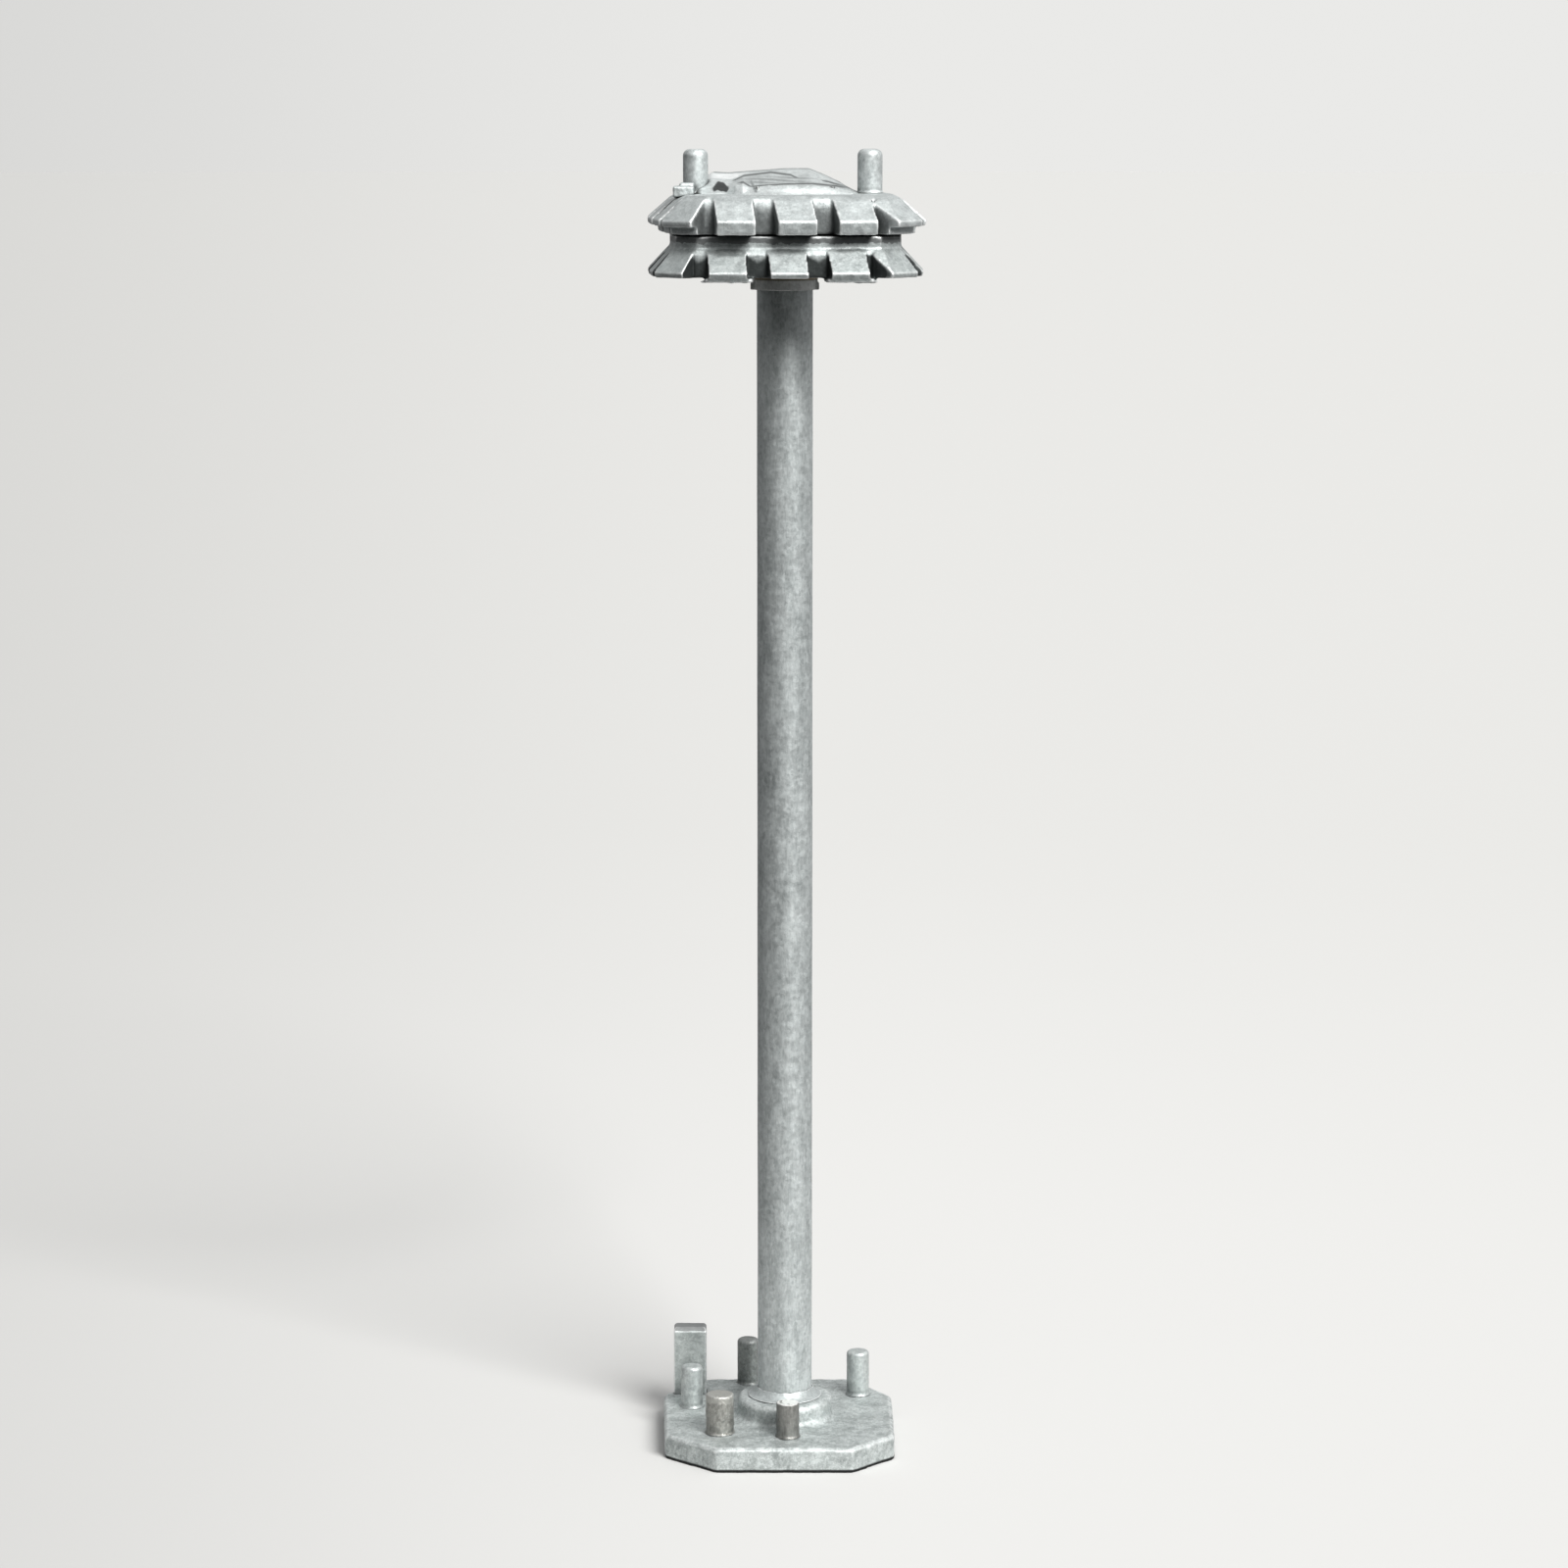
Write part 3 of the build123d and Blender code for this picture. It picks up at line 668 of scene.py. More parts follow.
@dataclass(frozen=True)
class OcclusionShade:
    """Painted shade where a surface is shut in, kept as one number on each vertex."""

    directions: int = 28
    reach: float = 60 * MM
    level_directions: int = 16
    slot_reach: float = 27 * MM
    lift: float = 1.6 * MM
    graze: float = 0.1
    steepness: float = 0.75
    spread: int = 4

    def sky(self) -> list[Vector]:
        """Evenly spread directions over the whole sphere."""
        turn = math.pi * (3 - math.sqrt(5))
        ways = []
        for step in range(self.directions):
            z = 1 - 2 * (step + 0.5) / self.directions
            flat = math.sqrt(1 - z * z)
            ways.append(Vector((flat * math.cos(turn * step), flat * math.sin(turn * step), z)))
        return ways

    def walls(self, pieces: list[Object]) -> BVHTree:
        """Every surface that rays may meet.

        Args:
            pieces: pieces whose shape isn't their CAD node's, which they stand in for.

        Returns:
            The tree to cast rays at.
        """
        corners: list[Vector] = []
        faces: list[list[int]] = []
        hidden = {node for piece in pieces for node in piece["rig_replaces"]}
        parts = [part for node, part in frame["nodes"].items() if node not in hidden]
        for part in parts + pieces:
            start = len(corners)
            corners += [vertex.co.copy() for vertex in part.data.vertices]
            faces += [[start + index for index in face.vertices] for face in part.data.polygons]
        return BVHTree.FromPolygons(corners, faces)

    def level(self) -> list[Vector]:
        """Evenly spread level directions."""
        turn = 2 * math.pi / self.level_directions
        return [Vector((math.cos(turn * step), math.sin(turn * step), 0.0))
                for step in range(self.level_directions)]

    def share_met(self, walls: BVHTree, vertex: MeshVertex, ways: list[Vector],
                  reach: float) -> float:
        """How much of what a vertex faces is shut in.

        Args:
            walls: what rays may meet.
            vertex: the vertex, with its normal.
            ways: directions to try; those behind the surface don't count.
            reach: how far a wall may be.

        Returns:
            The share, from 0 to 1.
        """
        start = vertex.co + vertex.normal * self.lift
        met = total = 0.0
        for way in ways:
            weight = vertex.normal.dot(way)
            if weight > self.graze:
                total += weight
                if walls.ray_cast(start, way, reach)[0] is not None:
                    met += weight
        return met / total if total else 0.0

    def settle(self, pieces: list[Object], reshaped: list[Object],
               slotted: list[Object]) -> None:
        """Writes the painted shade of every piece.

        Args:
            pieces: the pieces, each with its mesh in place.
            reshaped: those whose shape isn't their CAD node's.
            slotted: those with narrow upright slots, whose walls get painted shade as well.
        """
        walls = self.walls(reshaped)
        sky, level = self.sky(), self.level()
        for piece in pieces:
            shut = [self.share_met(walls, vertex, sky, self.reach) for vertex in piece.data.vertices]
            self.keep(piece.data, PAINTED_SHADE, shut)
        for piece in slotted:
            # Level rays find upright walls shut in between teeth; these get painted shade.
            tight = [self.share_met(walls, vertex, level, self.slot_reach)
                     * (abs(vertex.normal.z) < self.steepness) for vertex in piece.data.vertices]
            self.keep(piece.data, SLOT_SHADE, tight)

    def keep(self, mesh: Mesh, name: str, values: list[float]) -> None:
        """Writes one number on each vertex, evened out, under a name."""
        layer = mesh.attributes.new(name, "FLOAT", "POINT")
        layer.data.foreach_set("value", self.evened(mesh, np.array(values, np.float32)))

    def evened(self, mesh: Mesh, values: np.ndarray) -> np.ndarray:
        """Averages values with their neighbours.

        Args:
            mesh: the mesh that they belong to.
            values: one number for each vertex.

        Returns:
            The smoother numbers.
        """
        ends = np.empty(len(mesh.edges) * 2, np.int32)
        mesh.edges.foreach_get("vertices", ends)
        near, far = ends.reshape(-1, 2).T
        count = np.bincount(ends, minlength=len(values)) + 1.0
        for _ in range(self.spread):
            total = values + np.bincount(near, values[far], len(values))
            total += np.bincount(far, values[near], len(values))
            values = total / count
        return values.astype(np.float32)


def middle(node: str) -> Vector:
    """The middle of a node's box."""
    low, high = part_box(node)
    return (low + high) / 2


# ---------------------------------------------------------------- base


class StudKind(Enum):
    """How the top and sides of a base stud show wear."""

    COATED = "zinc_stud"
    WORN = "worn_stud"
    BARE = "bare_stud"


@dataclass
class Base:
    """The base casting with its studs, tab and the weld at the tube's foot."""

    plate_skin: Skin = Skin(voxel=1.45 * MM, smoothing=3, ripple=0.7 * MM, wave=17 * MM)
    weld_skin: Skin = Skin(voxel=0.9 * MM, smoothing=4, ripple=0.3 * MM, wave=8 * MM)
    stud_skin: Skin = Skin(voxel=0.7 * MM, smoothing=3, ripple=0.14 * MM, wave=6 * MM)
    worn_skin: Skin = Skin(voxel=0.75 * MM, smoothing=3, ripple=0.5 * MM, wave=7 * MM)
    tab_skin: Skin = Skin(voxel=0.95 * MM, smoothing=2, ripple=0.16 * MM, wave=12 * MM)
    foot_reach: float = 4.5 * MM
    foot_rise: float = 3.6 * MM
    foot_sink: float = 3.0 * MM
    foot_steps: int = 6
    worn_cap: float = 9.0 * MM
    bare_cap: float = 0.4 * MM
    tab_shaded_bevel: float = 4.0 * MM
    studs: dict[str, StudKind] = field(default_factory=lambda: {
        "base_stud_rear_right": StudKind.COATED,
        "base_stud_rear_left": StudKind.COATED,
        "base_stud_left": StudKind.COATED,
        "base_stud_front_left": StudKind.WORN,
        "base_stud_front_centre": StudKind.BARE,
    })
    # Studs that get the darker copy of the stud zinc as painted shade.
    dull: tuple[str, ...] = ("base_stud_rear_left",)

    def foot(self, stud: str, deck: float) -> BMesh:
        """The cast fillet round the foot of a stud.

        Args:
            stud: the stud's node.
            deck: height of the plate's top.

        Returns:
            A closed ring of metal, hollow-cornered, filled to the middle.
        """
        low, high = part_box(stud)
        radius = (high.x - low.x) / 2
        curve = []
        for step in range(self.foot_steps + 1):
            angle = math.pi / 2 * step / self.foot_steps
            reach = self.foot_reach * (1 - math.sin(angle))
            rise = self.foot_rise * (1 - math.cos(angle))
            curve.append((radius + reach, rise))
        profile = [(0.0, -self.foot_sink), (radius + self.foot_reach, -self.foot_sink)]
        profile += curve + [(0.0, self.foot_rise)]
        centre = middle(stud)
        return lathe(profile, Vector((centre.x, centre.y, deck)))

    def build(self, dresser: Dresser) -> None:
        """Builds and dresses every piece of the base.

        Args:
            dresser: where materials and bodies come from.
        """
        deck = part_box("base_stud_left")[0].z
        feet = tuple(self.foot(stud, deck) for stud in self.studs)
        dresser.cast("base_plate", "cast_base", self.plate_skin, 3.1, "cast_plate", CAST_PLATE, feet)
        dresser.cast("foot_weld", "tube_foot", self.weld_skin, 5.7, "weld_zinc", WELD_ZINC)
        for number, (stud, kind) in enumerate(self.studs.items()):
            self.build_stud(dresser, stud, kind, 7.0 + number)
        # Painted shade on the tab's top bevel.
        finish = replace(TAB_ZINC, cap_height=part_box("locating_tab")[1].z - self.tab_shaded_bevel)
        dresser.cast("locating_tab", "tab", self.tab_skin, 13.3, "zinc_tab", finish)

    def build_stud(self, dresser: Dresser, stud: str, kind: StudKind, seed: float) -> None:
        """Builds one stud.

        Args:
            dresser: where materials and bodies come from.
            stud: the stud's node.
            kind: what wear it shows.
            seed: which stretch of the noise it takes.
        """
        skin = self.worn_skin if kind is StudKind.WORN else self.stud_skin
        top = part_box(stud)[1].z
        finish = {
            StudKind.COATED: SHADED_STUD_ZINC if stud in self.dull else STUD_ZINC,
            StudKind.WORN: replace(WORN_STEEL, cap_height=top - self.worn_cap),
            StudKind.BARE: replace(BARE_STEEL, cap_height=top - self.bare_cap),
        }[kind]
        # The shaded studs get their own material, painted darker for shade.
        paint = "shaded_stud_zinc" if stud in self.dull else None
        name = stud.replace("base_stud", "stud")
        dresser.cast(stud, name, skin, seed, kind.value, finish, paint=paint)


# ---------------------------------------------------------------- tube and collar


@dataclass
class Mast:
    """The tube, the dark collar under the head and the hardware on its axis."""

    segments: int = 128
    ring_step: float = 4.0 * MM
    wall: float = 3.6 * MM
    lip: float = 0.6 * MM
    dent: float = 0.22 * MM
    dent_bias: float = 0.6
    dent_width: float = 26 * MM
    dent_length: float = 150 * MM
    collar_skin: Skin = Skin(voxel=0.8 * MM, smoothing=2, ripple=0.12 * MM, wave=7 * MM)

    def tube_mesh(self) -> Mesh:
        """The tube with eased ends and the slow unevenness of a dipped pipe.

        Returns:
            A closed mesh, outside, ends and bore.
        """
        low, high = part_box("post_tube")
        radius = (high.x - low.x) / 2
        bore = radius - self.wall
        count = round((high.z - low.z) / self.ring_step)
        heights = [low.z + self.lip + (high.z - low.z - 2 * self.lip) * step / count
                   for step in range(count + 1)]
        rows = [(radius - self.lip, low.z)] + [(radius, z) for z in heights]
        rows += [(radius - self.lip, high.z), (bore, high.z), (bore, low.z)]
        body = lathe(rows, Vector(), self.segments, hoop=True)
        body.verts.ensure_lookup_table()
        for vertex in body.verts[self.segments:self.segments * (len(heights) + 1)]:
            vertex.co = self.uneven(vertex.co)
        mesh = bpy.data.meshes.new("tube")
        body.to_mesh(mesh)
        body.free()
        mesh.shade_smooth()
        return mesh

    def uneven(self, spot: Vector) -> Vector:
        """Moves a point of the tube's outside in or out a little.

        Args:
            spot: the point on the true cylinder.

        Returns:
            The moved point.
        """
        wide = Vector((spot.x / self.dent_width, spot.y / self.dent_width, spot.z / self.dent_length))
        depth = self.dent * (noise.noise(wide) - self.dent_bias)
        out = Vector((spot.x, spot.y, 0)).normalized()
        return spot + out * depth

    def build(self, dresser: Dresser) -> None:
        """Builds and dresses the tube, the collar and the hardware.

        Args:
            dresser: where materials and bodies come from.
        """
        dresser.fit(link(self.tube_mesh(), "tube"), "post_tube", "tube_zinc", TUBE_ZINC)
        dresser.cast("head_collar", "collar", self.collar_skin, 17.9, "dark_collar", COLLAR_DARK)
        for node in ("top_plug", "plug_cross_pin"):
            dresser.coat(node, "turned_steel", TURNED_STEEL)
        for node in ("clamp_washer", "clamp_nut", "collar_set_screws"):
            dresser.coat(node, "fastener_steel", FASTENER_STEEL)
        dresser.coat("thrust_washer", "bearing_brass", BEARING_BRONZE)


# ---------------------------------------------------------------- heads


@dataclass
class LowerHead:
    """The lower toothed ring with its bush, spacer and the drips on its pads."""

    skin: Skin = Skin(voxel=1.4 * MM, smoothing=2, ripple=0.22 * MM, wave=10 * MM, keep=0.9)
    neck_shade: float = 8 * MM
    drips: int = 7
    drip_sizes: Pair = (0.6, 1.15)
    drip_depths: Pair = (-3, 2)
    drip_heights: Pair = (0.4, 1.4)
    drip_half: Triple = (5.5 * MM, 4.0 * MM, 1.7 * MM)
    pad_width: float = 42 * MM
    pad_depth: float = -128 * MM
    pad_sides: Pair = (-63 * MM, 70 * MM)

    def drip_lumps(self) -> list[BMesh]:
        """Beads of zinc that hang from the lower edges of the two front pads.

        Returns:
            Closed lumps.
        """
        draw = random.Random(SEED)
        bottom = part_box("lower_ring")[0].z
        lumps = []
        for side in self.pad_sides:
            for step in range(self.drips):
                along = side + self.pad_width * (step / (self.drips - 1) - 0.5)
                size = draw.uniform(*self.drip_sizes)
                spot = Vector((along, self.pad_depth + draw.uniform(*self.drip_depths) * MM,
                               bottom + draw.uniform(*self.drip_heights) * MM))
                lumps.append(ball(spot, tuple(size * half for half in self.drip_half)))
        return lumps

    def build(self, dresser: Dresser) -> None:
        """Builds and dresses the lower head.

        Args:
            dresser: where materials and bodies come from.
        """
        # Painted shade over the top of the ring round the neck, below the upper ring.
        finish = replace(CAST_LOWER, cap_height=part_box("lower_ring")[1].z - self.neck_shade)
        dresser.cast("lower_ring", "lower_toothed_ring", self.skin, 21.4, "cast_ring_lower", finish,
                     tuple(self.drip_lumps()))
        for node in ("lower_bush", "spacer_washer"):
            dresser.coat(node, "bearing_brass", BEARING_BRONZE)


@dataclass(frozen=True)
class Fold:
    """One fold of the crown: its crest from left to right, and its slopes."""

    crest: tuple[Triple, ...]
    front: float
    behind: float
    drop: float
    front_power: float = 1.6
    behind_power: float = 1.3

    def crest_at(self, x: np.ndarray) -> tuple[np.ndarray, np.ndarray]:
        """How far back and how high the crest is at places x along the head, in millimetres."""
        along, back, top = zip(*self.crest)
        return np.interp(x, along, back), np.interp(x, along, top)

    def height(self, x: np.ndarray, y: np.ndarray) -> np.ndarray:
        """Height of the fold over the deck.

        Args:
            x: places along the head, in millimetres.
            y: places from front to back, in millimetres.

        Returns:
            Heights in millimetres; far from the crest they fall below zero.
        """
        back, top = self.crest_at(x)
        ahead = np.clip(back - y, 0, None) / self.front
        after = np.clip(y - back, 0, None) / self.behind
        return top - self.drop * (ahead**self.front_power + after**self.behind_power)


@dataclass(frozen=True)
class Patch:
    """A soft-edged patch of the crown, along X and along one other axis, in millimetres."""

    at: Pair
    half: Pair
    power: int = 4

    def cover(self, x: np.ndarray, other: np.ndarray) -> np.ndarray:
        """How far inside each point lies, from 0 to 1."""
        near, far = ((place - at) / half for place, at, half in zip((x, other), self.at, self.half))
        return np.exp(-(near**self.power) - far**self.power)


@dataclass
class Crown:
    """The folded cast cap on the upper ring; its own sizes are in millimetres."""

    centre: Pair = (-8.0, 4.0)
    half: Pair = (88.0, 74.0)
    squareness: float = 3.2
    rim_start: float = 0.80
    rim_power: float = 0.45
    least: float = 0.3
    grid: int = 230
    blend: float = 0.55
    line_depth: float = 0.35
    line_pitch: float = 1.35
    line_lean: float = 0.2
    line_sway: float = 7.0
    line_length: float = 27.0
    lined: Patch = Patch((-5.0, -26.0), (42.0, 15.0), 2)
    # Painted shade behind the crest of each fold.
    seam_width: float = 1.0
    seam_lift: float = 0.9
    seam_shade_strengths: tuple[float, ...] = (0.85, 0.85, 0.0)
    seam_ends: Pair = (6.0, 25.0)
    # Painted shade along the top of the last fold.
    crest_band: float = 1.3
    crest_edge: float = 0.5
    crest_shade: float = 0.4
    # A patch over the middle fold, darker and crossed by wavy streaks.
    dull: Patch = Patch((-8.0, 14.5), (38.0, 4.2))
    dull_darkening: float = 0.12
    streak_darkening: float = 0.42
    streak_rise: float = 1.9
    streak_lean: float = 0.07
    streak_sway: float = 1.2
    streak_length: float = 13.0
    split_x: float = -33.0
    split_middle: float = 8.0
    split_lean: float = 0.5
    split_width: float = 1.6
    split_span: Pair = (2.0, 14.0)
    split_darkening: float = 0.6
    # Painted light on the left end of the last fold.
    painted_light_or_cap: Patch = Patch((-62.0, 17.5), (21.0, 5.0))
    painted_light_share: float = 0.8
    least_darkening: float = 0.05
    # Painted shade for a dark pocket on the left; the relief has no hollow there.
    pocket_shade: Pair = (-68.0, 7.0)
    pocket_shade_half: Pair = (8.5, 4.6)
    pocket_shade_ragged: tuple[Triple, ...] = ((1.3, 0.42, 2.4), (0.5, 0.9, 0.0))
    pocket_shade_strength: Pair = (3.0, 2.4)
    cavity_radius: float = 26.0
    roof: float = 4.0
    sunk: float = -0.5
    folds: tuple[Fold, ...] = (
        Fold(((-62, -38, 2.0), (-52, -43, 10.5), (-44, -46, 11.5), (-36, -46, 7.0), (-26, -48, 8.0),
              (0, -49, 9.8), (30, -48, 9.8), (55, -46, 7.0), (84, -40, 2.0)), 11.0, 4.0, 11.0),
        Fold(((-70, -4, 4.0), (-60, -6, 10.0), (-44, -9, 17.5), (-15, -10, 21.0), (6, -8, 18.5),
              (14, -6, 15.0), (45, 0, 11.5), (80, 8, 2.0)), 34.0, 5.0, 9.5),
        Fold(((-98, 34, 23.5), (-60, 36, 21.5), (-28, 38, 24.0), (0, 40, 26.0), (26, 40, 26.0),
              (40, 38, 20.5), (52, 36, 15.0), (64, 34, 9.0), (80, 30, 4.0)), 44.0, 34.0, 9.0),
    )
    skin: Skin = Skin(voxel=1.0 * MM, smoothing=2, ripple=0.2 * MM, wave=7 * MM, keep=0.8)

    def plan(self) -> tuple[np.ndarray, np.ndarray, np.ndarray]:
        """A square grid laid over the rounded footprint.

        Returns:
            x, y and how far out each point lies, from 0 at the middle to 1 at the edge.
        """
        line = np.linspace(-1.0, 1.0, self.grid)
        u, v = np.meshgrid(line, line, indexing="ij")
        power = self.squareness
        out = np.maximum(np.abs(u), np.abs(v))
        norm = (np.abs(u) ** power + np.abs(v) ** power) ** (1 / power)
        scale = np.where(norm > 0, out / np.maximum(norm, TINY), 1.0)
        x = self.centre[0] + self.half[0] * u * scale
        y = self.centre[1] + self.half[1] * v * scale
        return x, y, out

    def relief(self, x: np.ndarray, y: np.ndarray, out: np.ndarray) -> np.ndarray:
        """Height of the crown over the deck.

        Args:
            x: places in millimetres.
            y: places in millimetres.
            out: how far out each point lies.

        Returns:
            Heights in millimetres.
        """
        heights = np.stack([fold.height(x, y) for fold in self.folds])
        top = self.blend * np.log(np.sum(np.exp(heights / self.blend), axis=0))
        drift = self.line_lean * x + self.line_sway * np.sin(x / self.line_length)
        lines = self.line_depth * np.sin((y + drift) / self.line_pitch)
        top = np.maximum(top + lines * self.lined.cover(x, y), self.least)
        edge = np.clip((1 - out) / (1 - self.rim_start), 0, 1)
        return top * edge**self.rim_power

    def painted_shading(self, places: np.ndarray) -> np.ndarray:
        """Painted shade and painted light over the crown, with darker marks.

        Painted shade lies behind the crest of each fold, up the face of the next one, along the top of
        the last fold and in a pocket on the left; darker wavy streaks lie over the middle fold and a dark
        split line on the left of the front fold; painted light brightens the left end of the last fold.

        Args:
            places: one row for each vertex, in millimetres, with heights over the deck.

        Returns:
            The value of each vertex, from -1 where painted light makes it bright to 1 where it is black.
        """
        x, y, z = places.T
        darkening = np.zeros(len(places), np.float32)
        # Painted shade behind the crest of each fold, up the face of the next one.
        for fold, deep in zip(self.folds, self.seam_shade_strengths):
            back, top = fold.crest_at(x)
            seam = np.exp(-(((z - top - self.seam_lift) / self.seam_width) ** 2)) * (y > back)
            rise, fall = self.seam_ends
            inside = np.clip((x - fold.crest[1][0]) / rise, 0, 1)
            inside = inside * np.clip((fold.crest[-1][0] - x) / fall, 0, 1)
            darkening = np.maximum(darkening, deep * seam * inside)
        # Painted shade along the top of the last fold.
        top = self.folds[-1].crest_at(x)[1]
        crest = np.clip((z - top + self.crest_band) / self.crest_edge, 0, 1)
        darkening = np.maximum(darkening, self.crest_shade * crest)
        # Darker wavy streaks over the middle fold.
        wave = self.streak_rise * z + self.streak_lean * x
        wave = wave + self.streak_sway * np.sin(x / self.streak_length)
        streaks = self.dull_darkening + self.streak_darkening * (0.5 + 0.5 * np.sin(wave))
        darkening = np.maximum(darkening, self.dull.cover(x, z) * streaks)
        # A dark split line on the left of the front fold.
        low, high = self.split_span
        lean = (z - self.split_middle) * self.split_lean
        split = np.exp(-(((x - self.split_x + lean) / self.split_width) ** 2))
        darkening = np.maximum(darkening, self.split_darkening * split * (z > low) * (z < high) * (y < 0))
        # Painted shade for the dark pocket on the left.
        ragged = sum(size * np.sin(rate * x + phase) for size, rate, phase in self.pocket_shade_ragged)
        (left, level), (half, tall) = self.pocket_shade, self.pocket_shade_half
        depth = ((x - left) / half) ** 2 + ((z - level + ragged) / tall) ** 2
        darkening = np.maximum(darkening, np.clip(self.pocket_shade_strength[0] - self.pocket_shade_strength[1] * depth, 0, 1))
        # Painted light on the left end of the last fold, where nothing darker lies.
        painted_light_or_cap = -self.painted_light_share * self.painted_light_or_cap.cover(x, z) * (y > 0)
        return np.where(darkening > self.least_darkening, darkening, painted_light_or_cap).astype(np.float32)

    def mesh(self) -> Mesh:
        """The crown as a closed shell with a hollow over the clamp nut.

        Returns:
            The mesh, in metres.
        """
        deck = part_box("crown")[0].z / MM
        x, y, out = self.plan()
        top = self.relief(x, y, out)
        hollow = np.hypot(x, y) < self.cavity_radius
        floor = np.where(hollow, np.maximum(top - self.roof, 0.0), self.sunk)
        count = self.grid
        upper = np.stack([x, y, deck + top], axis=-1).reshape(-1, 3) * MM
        lower = np.stack([x, y, deck + floor], axis=-1).reshape(-1, 3) * MM
        index = np.arange(count * count).reshape(count, count)
        quads = np.stack([index[:-1, :-1], index[1:, :-1], index[1:, 1:], index[:-1, 1:]], axis=-1)
        faces = quads.reshape(-1, 4).tolist()
        faces += (quads[..., ::-1].reshape(-1, 4) + count * count).tolist()
        loop = np.concatenate([index[:, 0], index[-1, 1:], index[-2::-1, -1], index[0, -2:0:-1]])
        for near, far in zip(loop, np.roll(loop, -1)):
            faces.append([int(near), int(near + count * count), int(far + count * count), int(far)])
        made = bpy.data.meshes.new("crown_cap")
        made.from_pydata(np.concatenate([upper, lower]).tolist(), [], faces)
        body = bmesh.new()
        body.from_mesh(made)
        bmesh.ops.recalc_face_normals(body, faces=body.faces)
        body.to_mesh(made)
        body.free()
        return made

    def build(self, dresser: Dresser) -> None:
        """Builds and dresses the crown.

        Args:
            dresser: where materials and bodies come from.
        """
        piece = link(self.mesh(), "crown_cap")
        self.skin.lay(piece, 33.2)
        places = coordinates(piece.data) / MM
        places[:, 2] -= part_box("crown")[0].z / MM
        # Painted shading and darker marks of the crown, kept on each vertex.
        layer = piece.data.attributes.new(PAINTED_SHADING, "FLOAT", "POINT")
        layer.data.foreach_set("value", self.painted_shading(places))
        dresser.fit(piece, "crown", "cast_crown", CAST_CROWN)


@dataclass
class UpperHead:
    """The upper toothed ring with its pins, step block, crown and screws."""

    skin: Skin = Skin(voxel=1.4 * MM, smoothing=4, ripple=0.26 * MM, wave=10 * MM, keep=0.9)
    pin_skin: Skin = Skin(voxel=0.7 * MM, smoothing=3, ripple=0.1 * MM, wave=8 * MM)
    step_skin: Skin = Skin(voxel=0.7 * MM, smoothing=24, ripple=0.3 * MM, wave=6 * MM)

    def build(self, dresser: Dresser) -> None:
        """Builds and dresses the upper head.

        Args:
            dresser: where materials and bodies come from.
        """
        dresser.cast("upper_ring", "upper_toothed_ring", self.skin, 25.8, "cast_ring_upper", CAST_UPPER)
        for number, node in enumerate(("head_pin_left", "head_pin_right")):
            name = node.replace("head_pin", "top_pin")
            dresser.cast(node, name, self.pin_skin, 28.0 + number, "zinc_pin", PIN_ZINC)
        dresser.cast("step_block", "stepped_lug", self.step_skin, 31.6, "cast_crown", STEP_ZINC,
                     paint="step_zinc")
        Crown().build(dresser)
        dresser.coat("crown_screws", "fastener_steel", FASTENER_STEEL)
        dresser.coat("upper_bush", "bearing_brass", BEARING_BRONZE)


# ---------------------------------------------------------------- studio


def tinted(tone: float, tint: Colour) -> Colour:
    """A tint at a tone."""
    return tuple(tone * part for part in tint)


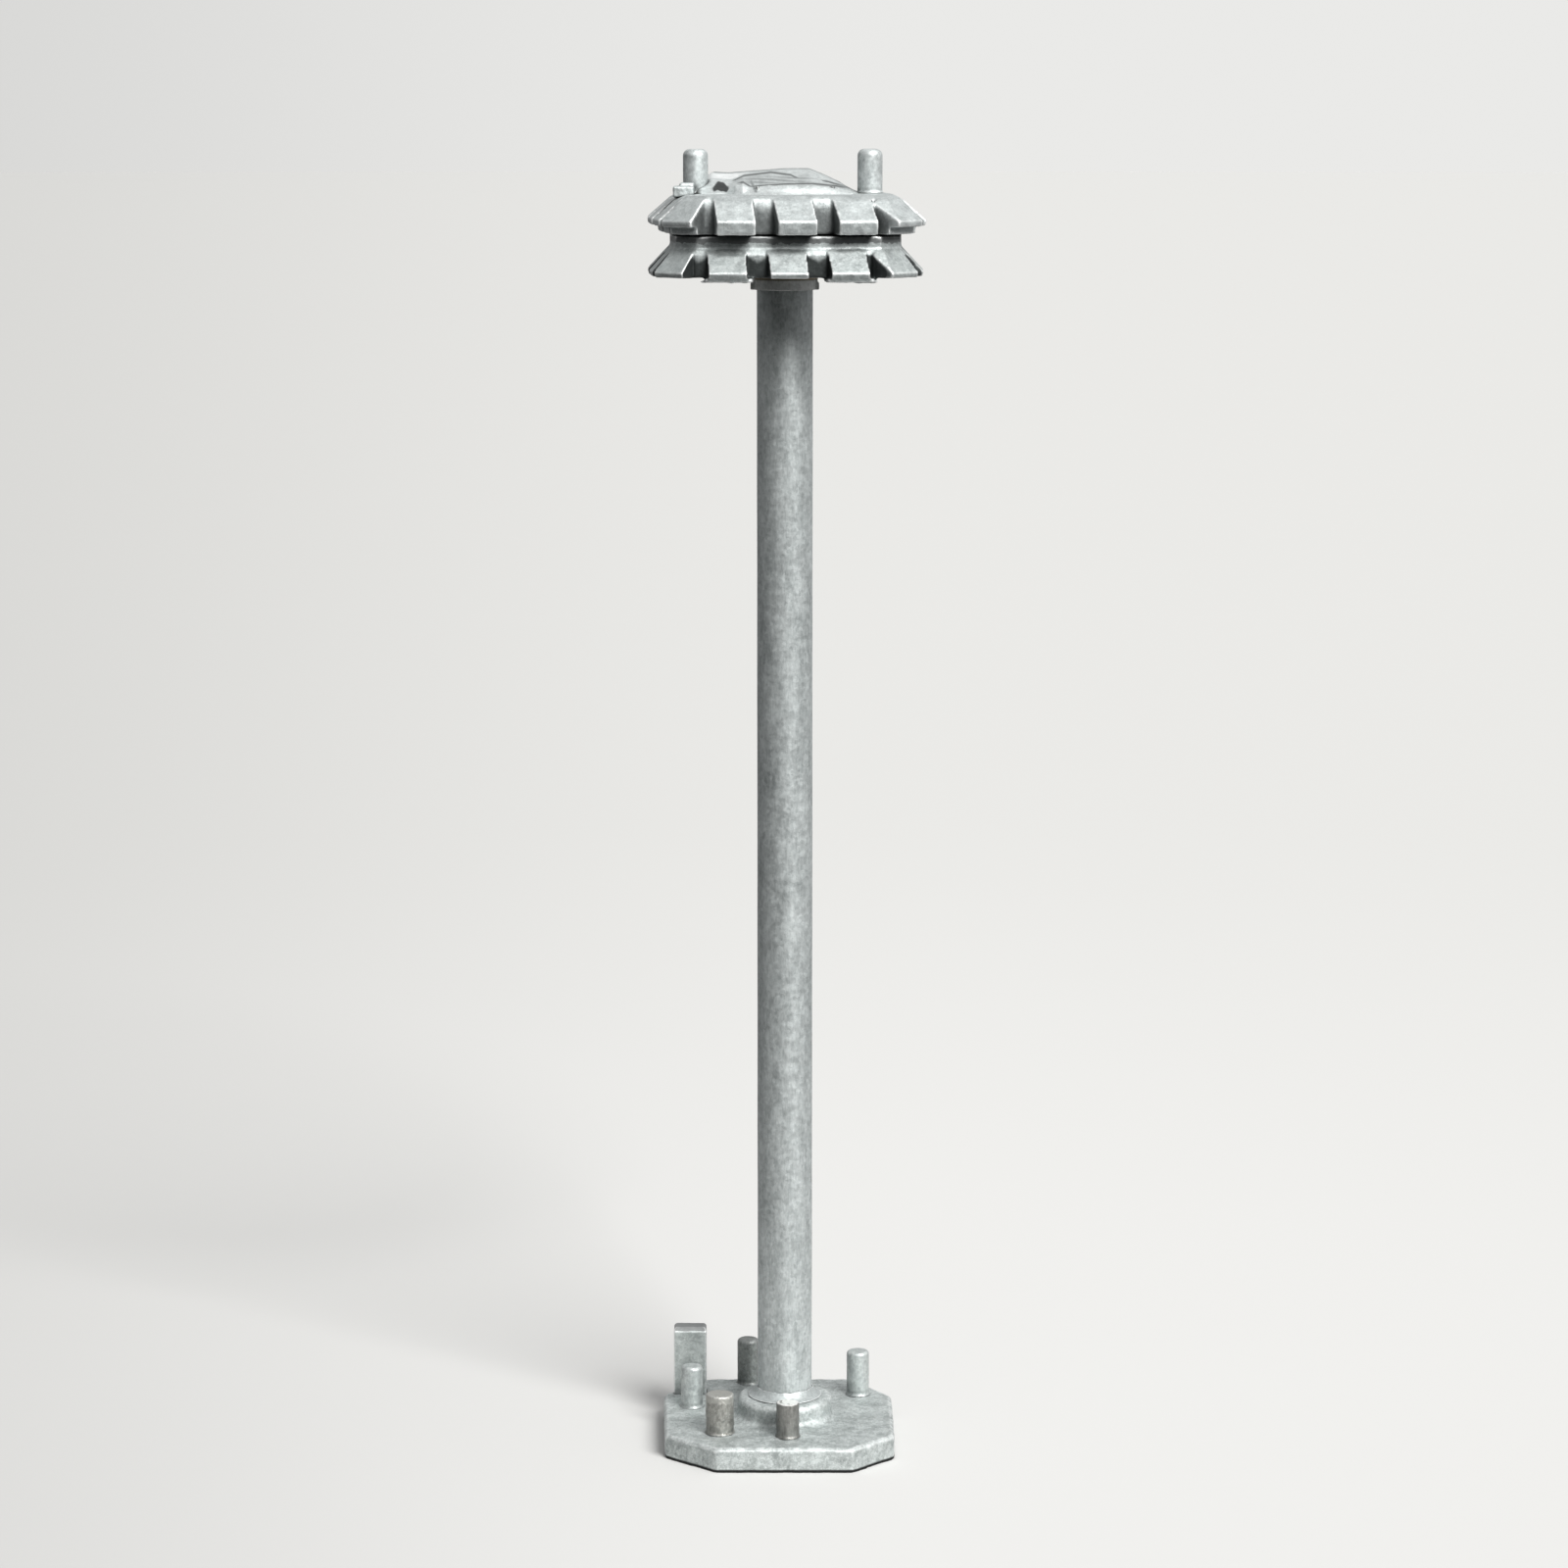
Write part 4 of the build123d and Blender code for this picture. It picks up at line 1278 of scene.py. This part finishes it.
@dataclass
class Studio:
    """Pale floor, soft light and the camera."""

    lens: float = 99.225
    camera_at: Triple = (-0.0009, -4.65, 1.481)
    look_down: float = 9.07
    floor_radius: float = 80.0
    # Floor tones, painted a little dimmer away from the middle, with painted shade on the left.
    floor_near: float = 0.60
    floor_far: float = 0.565
    left_dimming: float = 0.185
    left_span: Pair = (0.04, -0.26)
    pool_tone: float = 0.55
    pool_radius: float = 0.75
    pool_depth: float = 2 * MM
    backdrop: float = 0.822
    key_strength: float = 4.6
    key_angle: float = 30.0
    key_elevation: float = 40.0
    key_azimuth: float = 33.0
    key_colour: Colour = (1.0, 0.995, 0.98)
    near_tint: Colour = (1.0, 0.998, 0.985)
    far_tint: Colour = (1.0, 0.998, 0.98)
    fade_span: Pair = (0.2, 4.5)
    fibre_size: float = 0.6
    fibre_share: float = 0.1
    paper_rough: float = 0.9
    paper_shine: float = 0.1
    glow_span: Pair = (-0.3, 0.8)
    glow_shares: tuple[float, ...] = (0.45, 0.14, 0.08, 0.12)

    def camera(self) -> None:
        """Sets up the camera."""
        data = bpy.data.cameras.new("camera")
        data.sensor_width = 36.0
        data.lens = self.lens
        data.clip_end = 2 * self.floor_radius
        camera = bpy.data.objects.new("camera", data)
        camera.location = self.camera_at
        camera.rotation_euler = (math.radians(90 - self.look_down), 0, 0)
        bpy.context.scene.collection.objects.link(camera)
        bpy.context.scene.camera = camera

    def dimming(self, across: Signal, ahead: Signal) -> Signal:
        """The share of painted shade on the left of the paper and backdrop, for a place across and ahead
        of the camera.
        """
        return (across / ahead).between(*self.left_span) * self.left_dimming

    def paper(self, name: str, near: float, far: float) -> Material:
        """Matt pale paper with painted shade: a little dimmer away from the middle and on the left.

        Args:
            name: the material's name.
            near: its tone in the middle.
            far: its tone far out.

        Returns:
            The material.
        """
        made = bpy.data.materials.new(name)
        made.use_nodes = True
        graph = Graph(made.node_tree)
        place = graph.add("ShaderNodeTexCoord", output="Object")
        reach = graph.add("ShaderNodeVectorMath", {"operation": "LENGTH"}, {0: place}, "Value")
        fibre = graph.cloud(place, self.fibre_size, 2.0) * self.fibre_share - self.fibre_share / 2
        # Painted shade: the paper gets dimmer away from the middle.
        fade = (reach.between(*self.fade_span) + fibre).clamped()
        shade = graph.blend(fade, tinted(near, self.near_tint), tinted(far, self.far_tint))
        x, y = place.axis("X"), place.axis("Y")
        # Painted shade on the left.
        shade = graph.blend(self.dimming(x, y - self.camera_at[1]), shade, BLACK)
        shader = made.node_tree.nodes["Principled BSDF"]
        graph.wire(shader.inputs["Base Color"], shade)
        graph.wire(shader.inputs["Roughness"], self.paper_rough)
        graph.wire(shader.inputs["Specular IOR Level"], self.paper_shine)
        return made

    def disc(self, name: str, radius: float, height: float) -> Object:
        """A round sheet of the stage.

        Args:
            name: what it is called.
            radius: its radius in metres.
            height: where it lies.

        Returns:
            The sheet.
        """
        body = bmesh.new()
        place = Matrix.Translation((0, 0, height))
        bmesh.ops.create_circle(body, cap_ends=True, segments=96, radius=radius, matrix=place)
        mesh = bpy.data.meshes.new(name)
        body.to_mesh(mesh)
        body.free()
        sheet = link(mesh, name)
        return sheet

    def floor(self) -> None:
        """A wide pale floor to look at, and a smaller sheet that throws light up."""
        floor = self.disc("floor", self.floor_radius, 0.0)
        floor.data.materials.append(self.paper("floor_paper", self.floor_near, self.floor_far))
        floor.visible_diffuse = False
        floor.visible_glossy = False
        floor.visible_shadow = False
        pool = self.disc("light_pool", self.pool_radius, -self.pool_depth)
        pool.data.materials.append(self.paper("pool_paper", self.pool_tone, self.pool_tone))
        pool.visible_camera = False

    def world(self) -> None:
        """Room light that is dimmer on the left and behind the camera, and a pale backdrop for the camera
        with painted shade on the left.
        """
        world = bpy.data.worlds.new("room")
        bpy.context.scene.world = world
        world.use_nodes = True
        graph = Graph(world.node_tree)
        way = graph.add("ShaderNodeTexCoord", output="Generated")
        x, y, z = (way.axis(name) for name in "XYZ")
        above, everywhere, right, ahead = self.glow_shares
        glow = (z.between(*self.glow_span) * above + everywhere + x * right + y * ahead).clamped()
        seen = graph.add("ShaderNodeLightPath", output="Is Camera Ray")
        # The backdrop that the camera sees, with painted shade on the left.
        pale = graph.blend(self.dimming(x, y), tinted(self.backdrop, self.far_tint), BLACK)
        light = graph.blend(glow, BLACK, WHITE)
        background = world.node_tree.nodes["Background"]
        graph.wire(background.inputs["Color"], graph.blend(seen, light, pale))

    def key(self) -> None:
        """The main soft light, from the upper right in front."""
        data = bpy.data.lights.new("key", "SUN")
        data.energy = self.key_strength
        data.angle = math.radians(self.key_angle)
        data.color = self.key_colour
        lamp = bpy.data.objects.new("key", data)
        lamp.rotation_euler = (math.radians(90 - self.key_elevation), 0, math.radians(self.key_azimuth))
        bpy.context.scene.collection.objects.link(lamp)

    def build(self) -> None:
        """Sets the floor, lights and camera."""
        self.camera()
        self.floor()
        self.world()
        self.key()
        bpy.context.scene.view_settings.view_transform = "Standard"


def main() -> None:
    """Builds every sub-assembly in order."""
    logging.basicConfig(level=logging.INFO)
    dresser = Dresser()
    Studio().build()
    Base().build(dresser)
    Mast().build(dresser)
    LowerHead().build(dresser)
    UpperHead().build(dresser)
    reshaped = [piece for piece in dresser.pieces if piece.name == "crown_cap"]
    slotted = [piece for piece in dresser.pieces if piece.name.endswith("toothed_ring")]
    OcclusionShade().settle(dresser.pieces, reshaped, slotted)


if __name__ == "__main__":
    main()
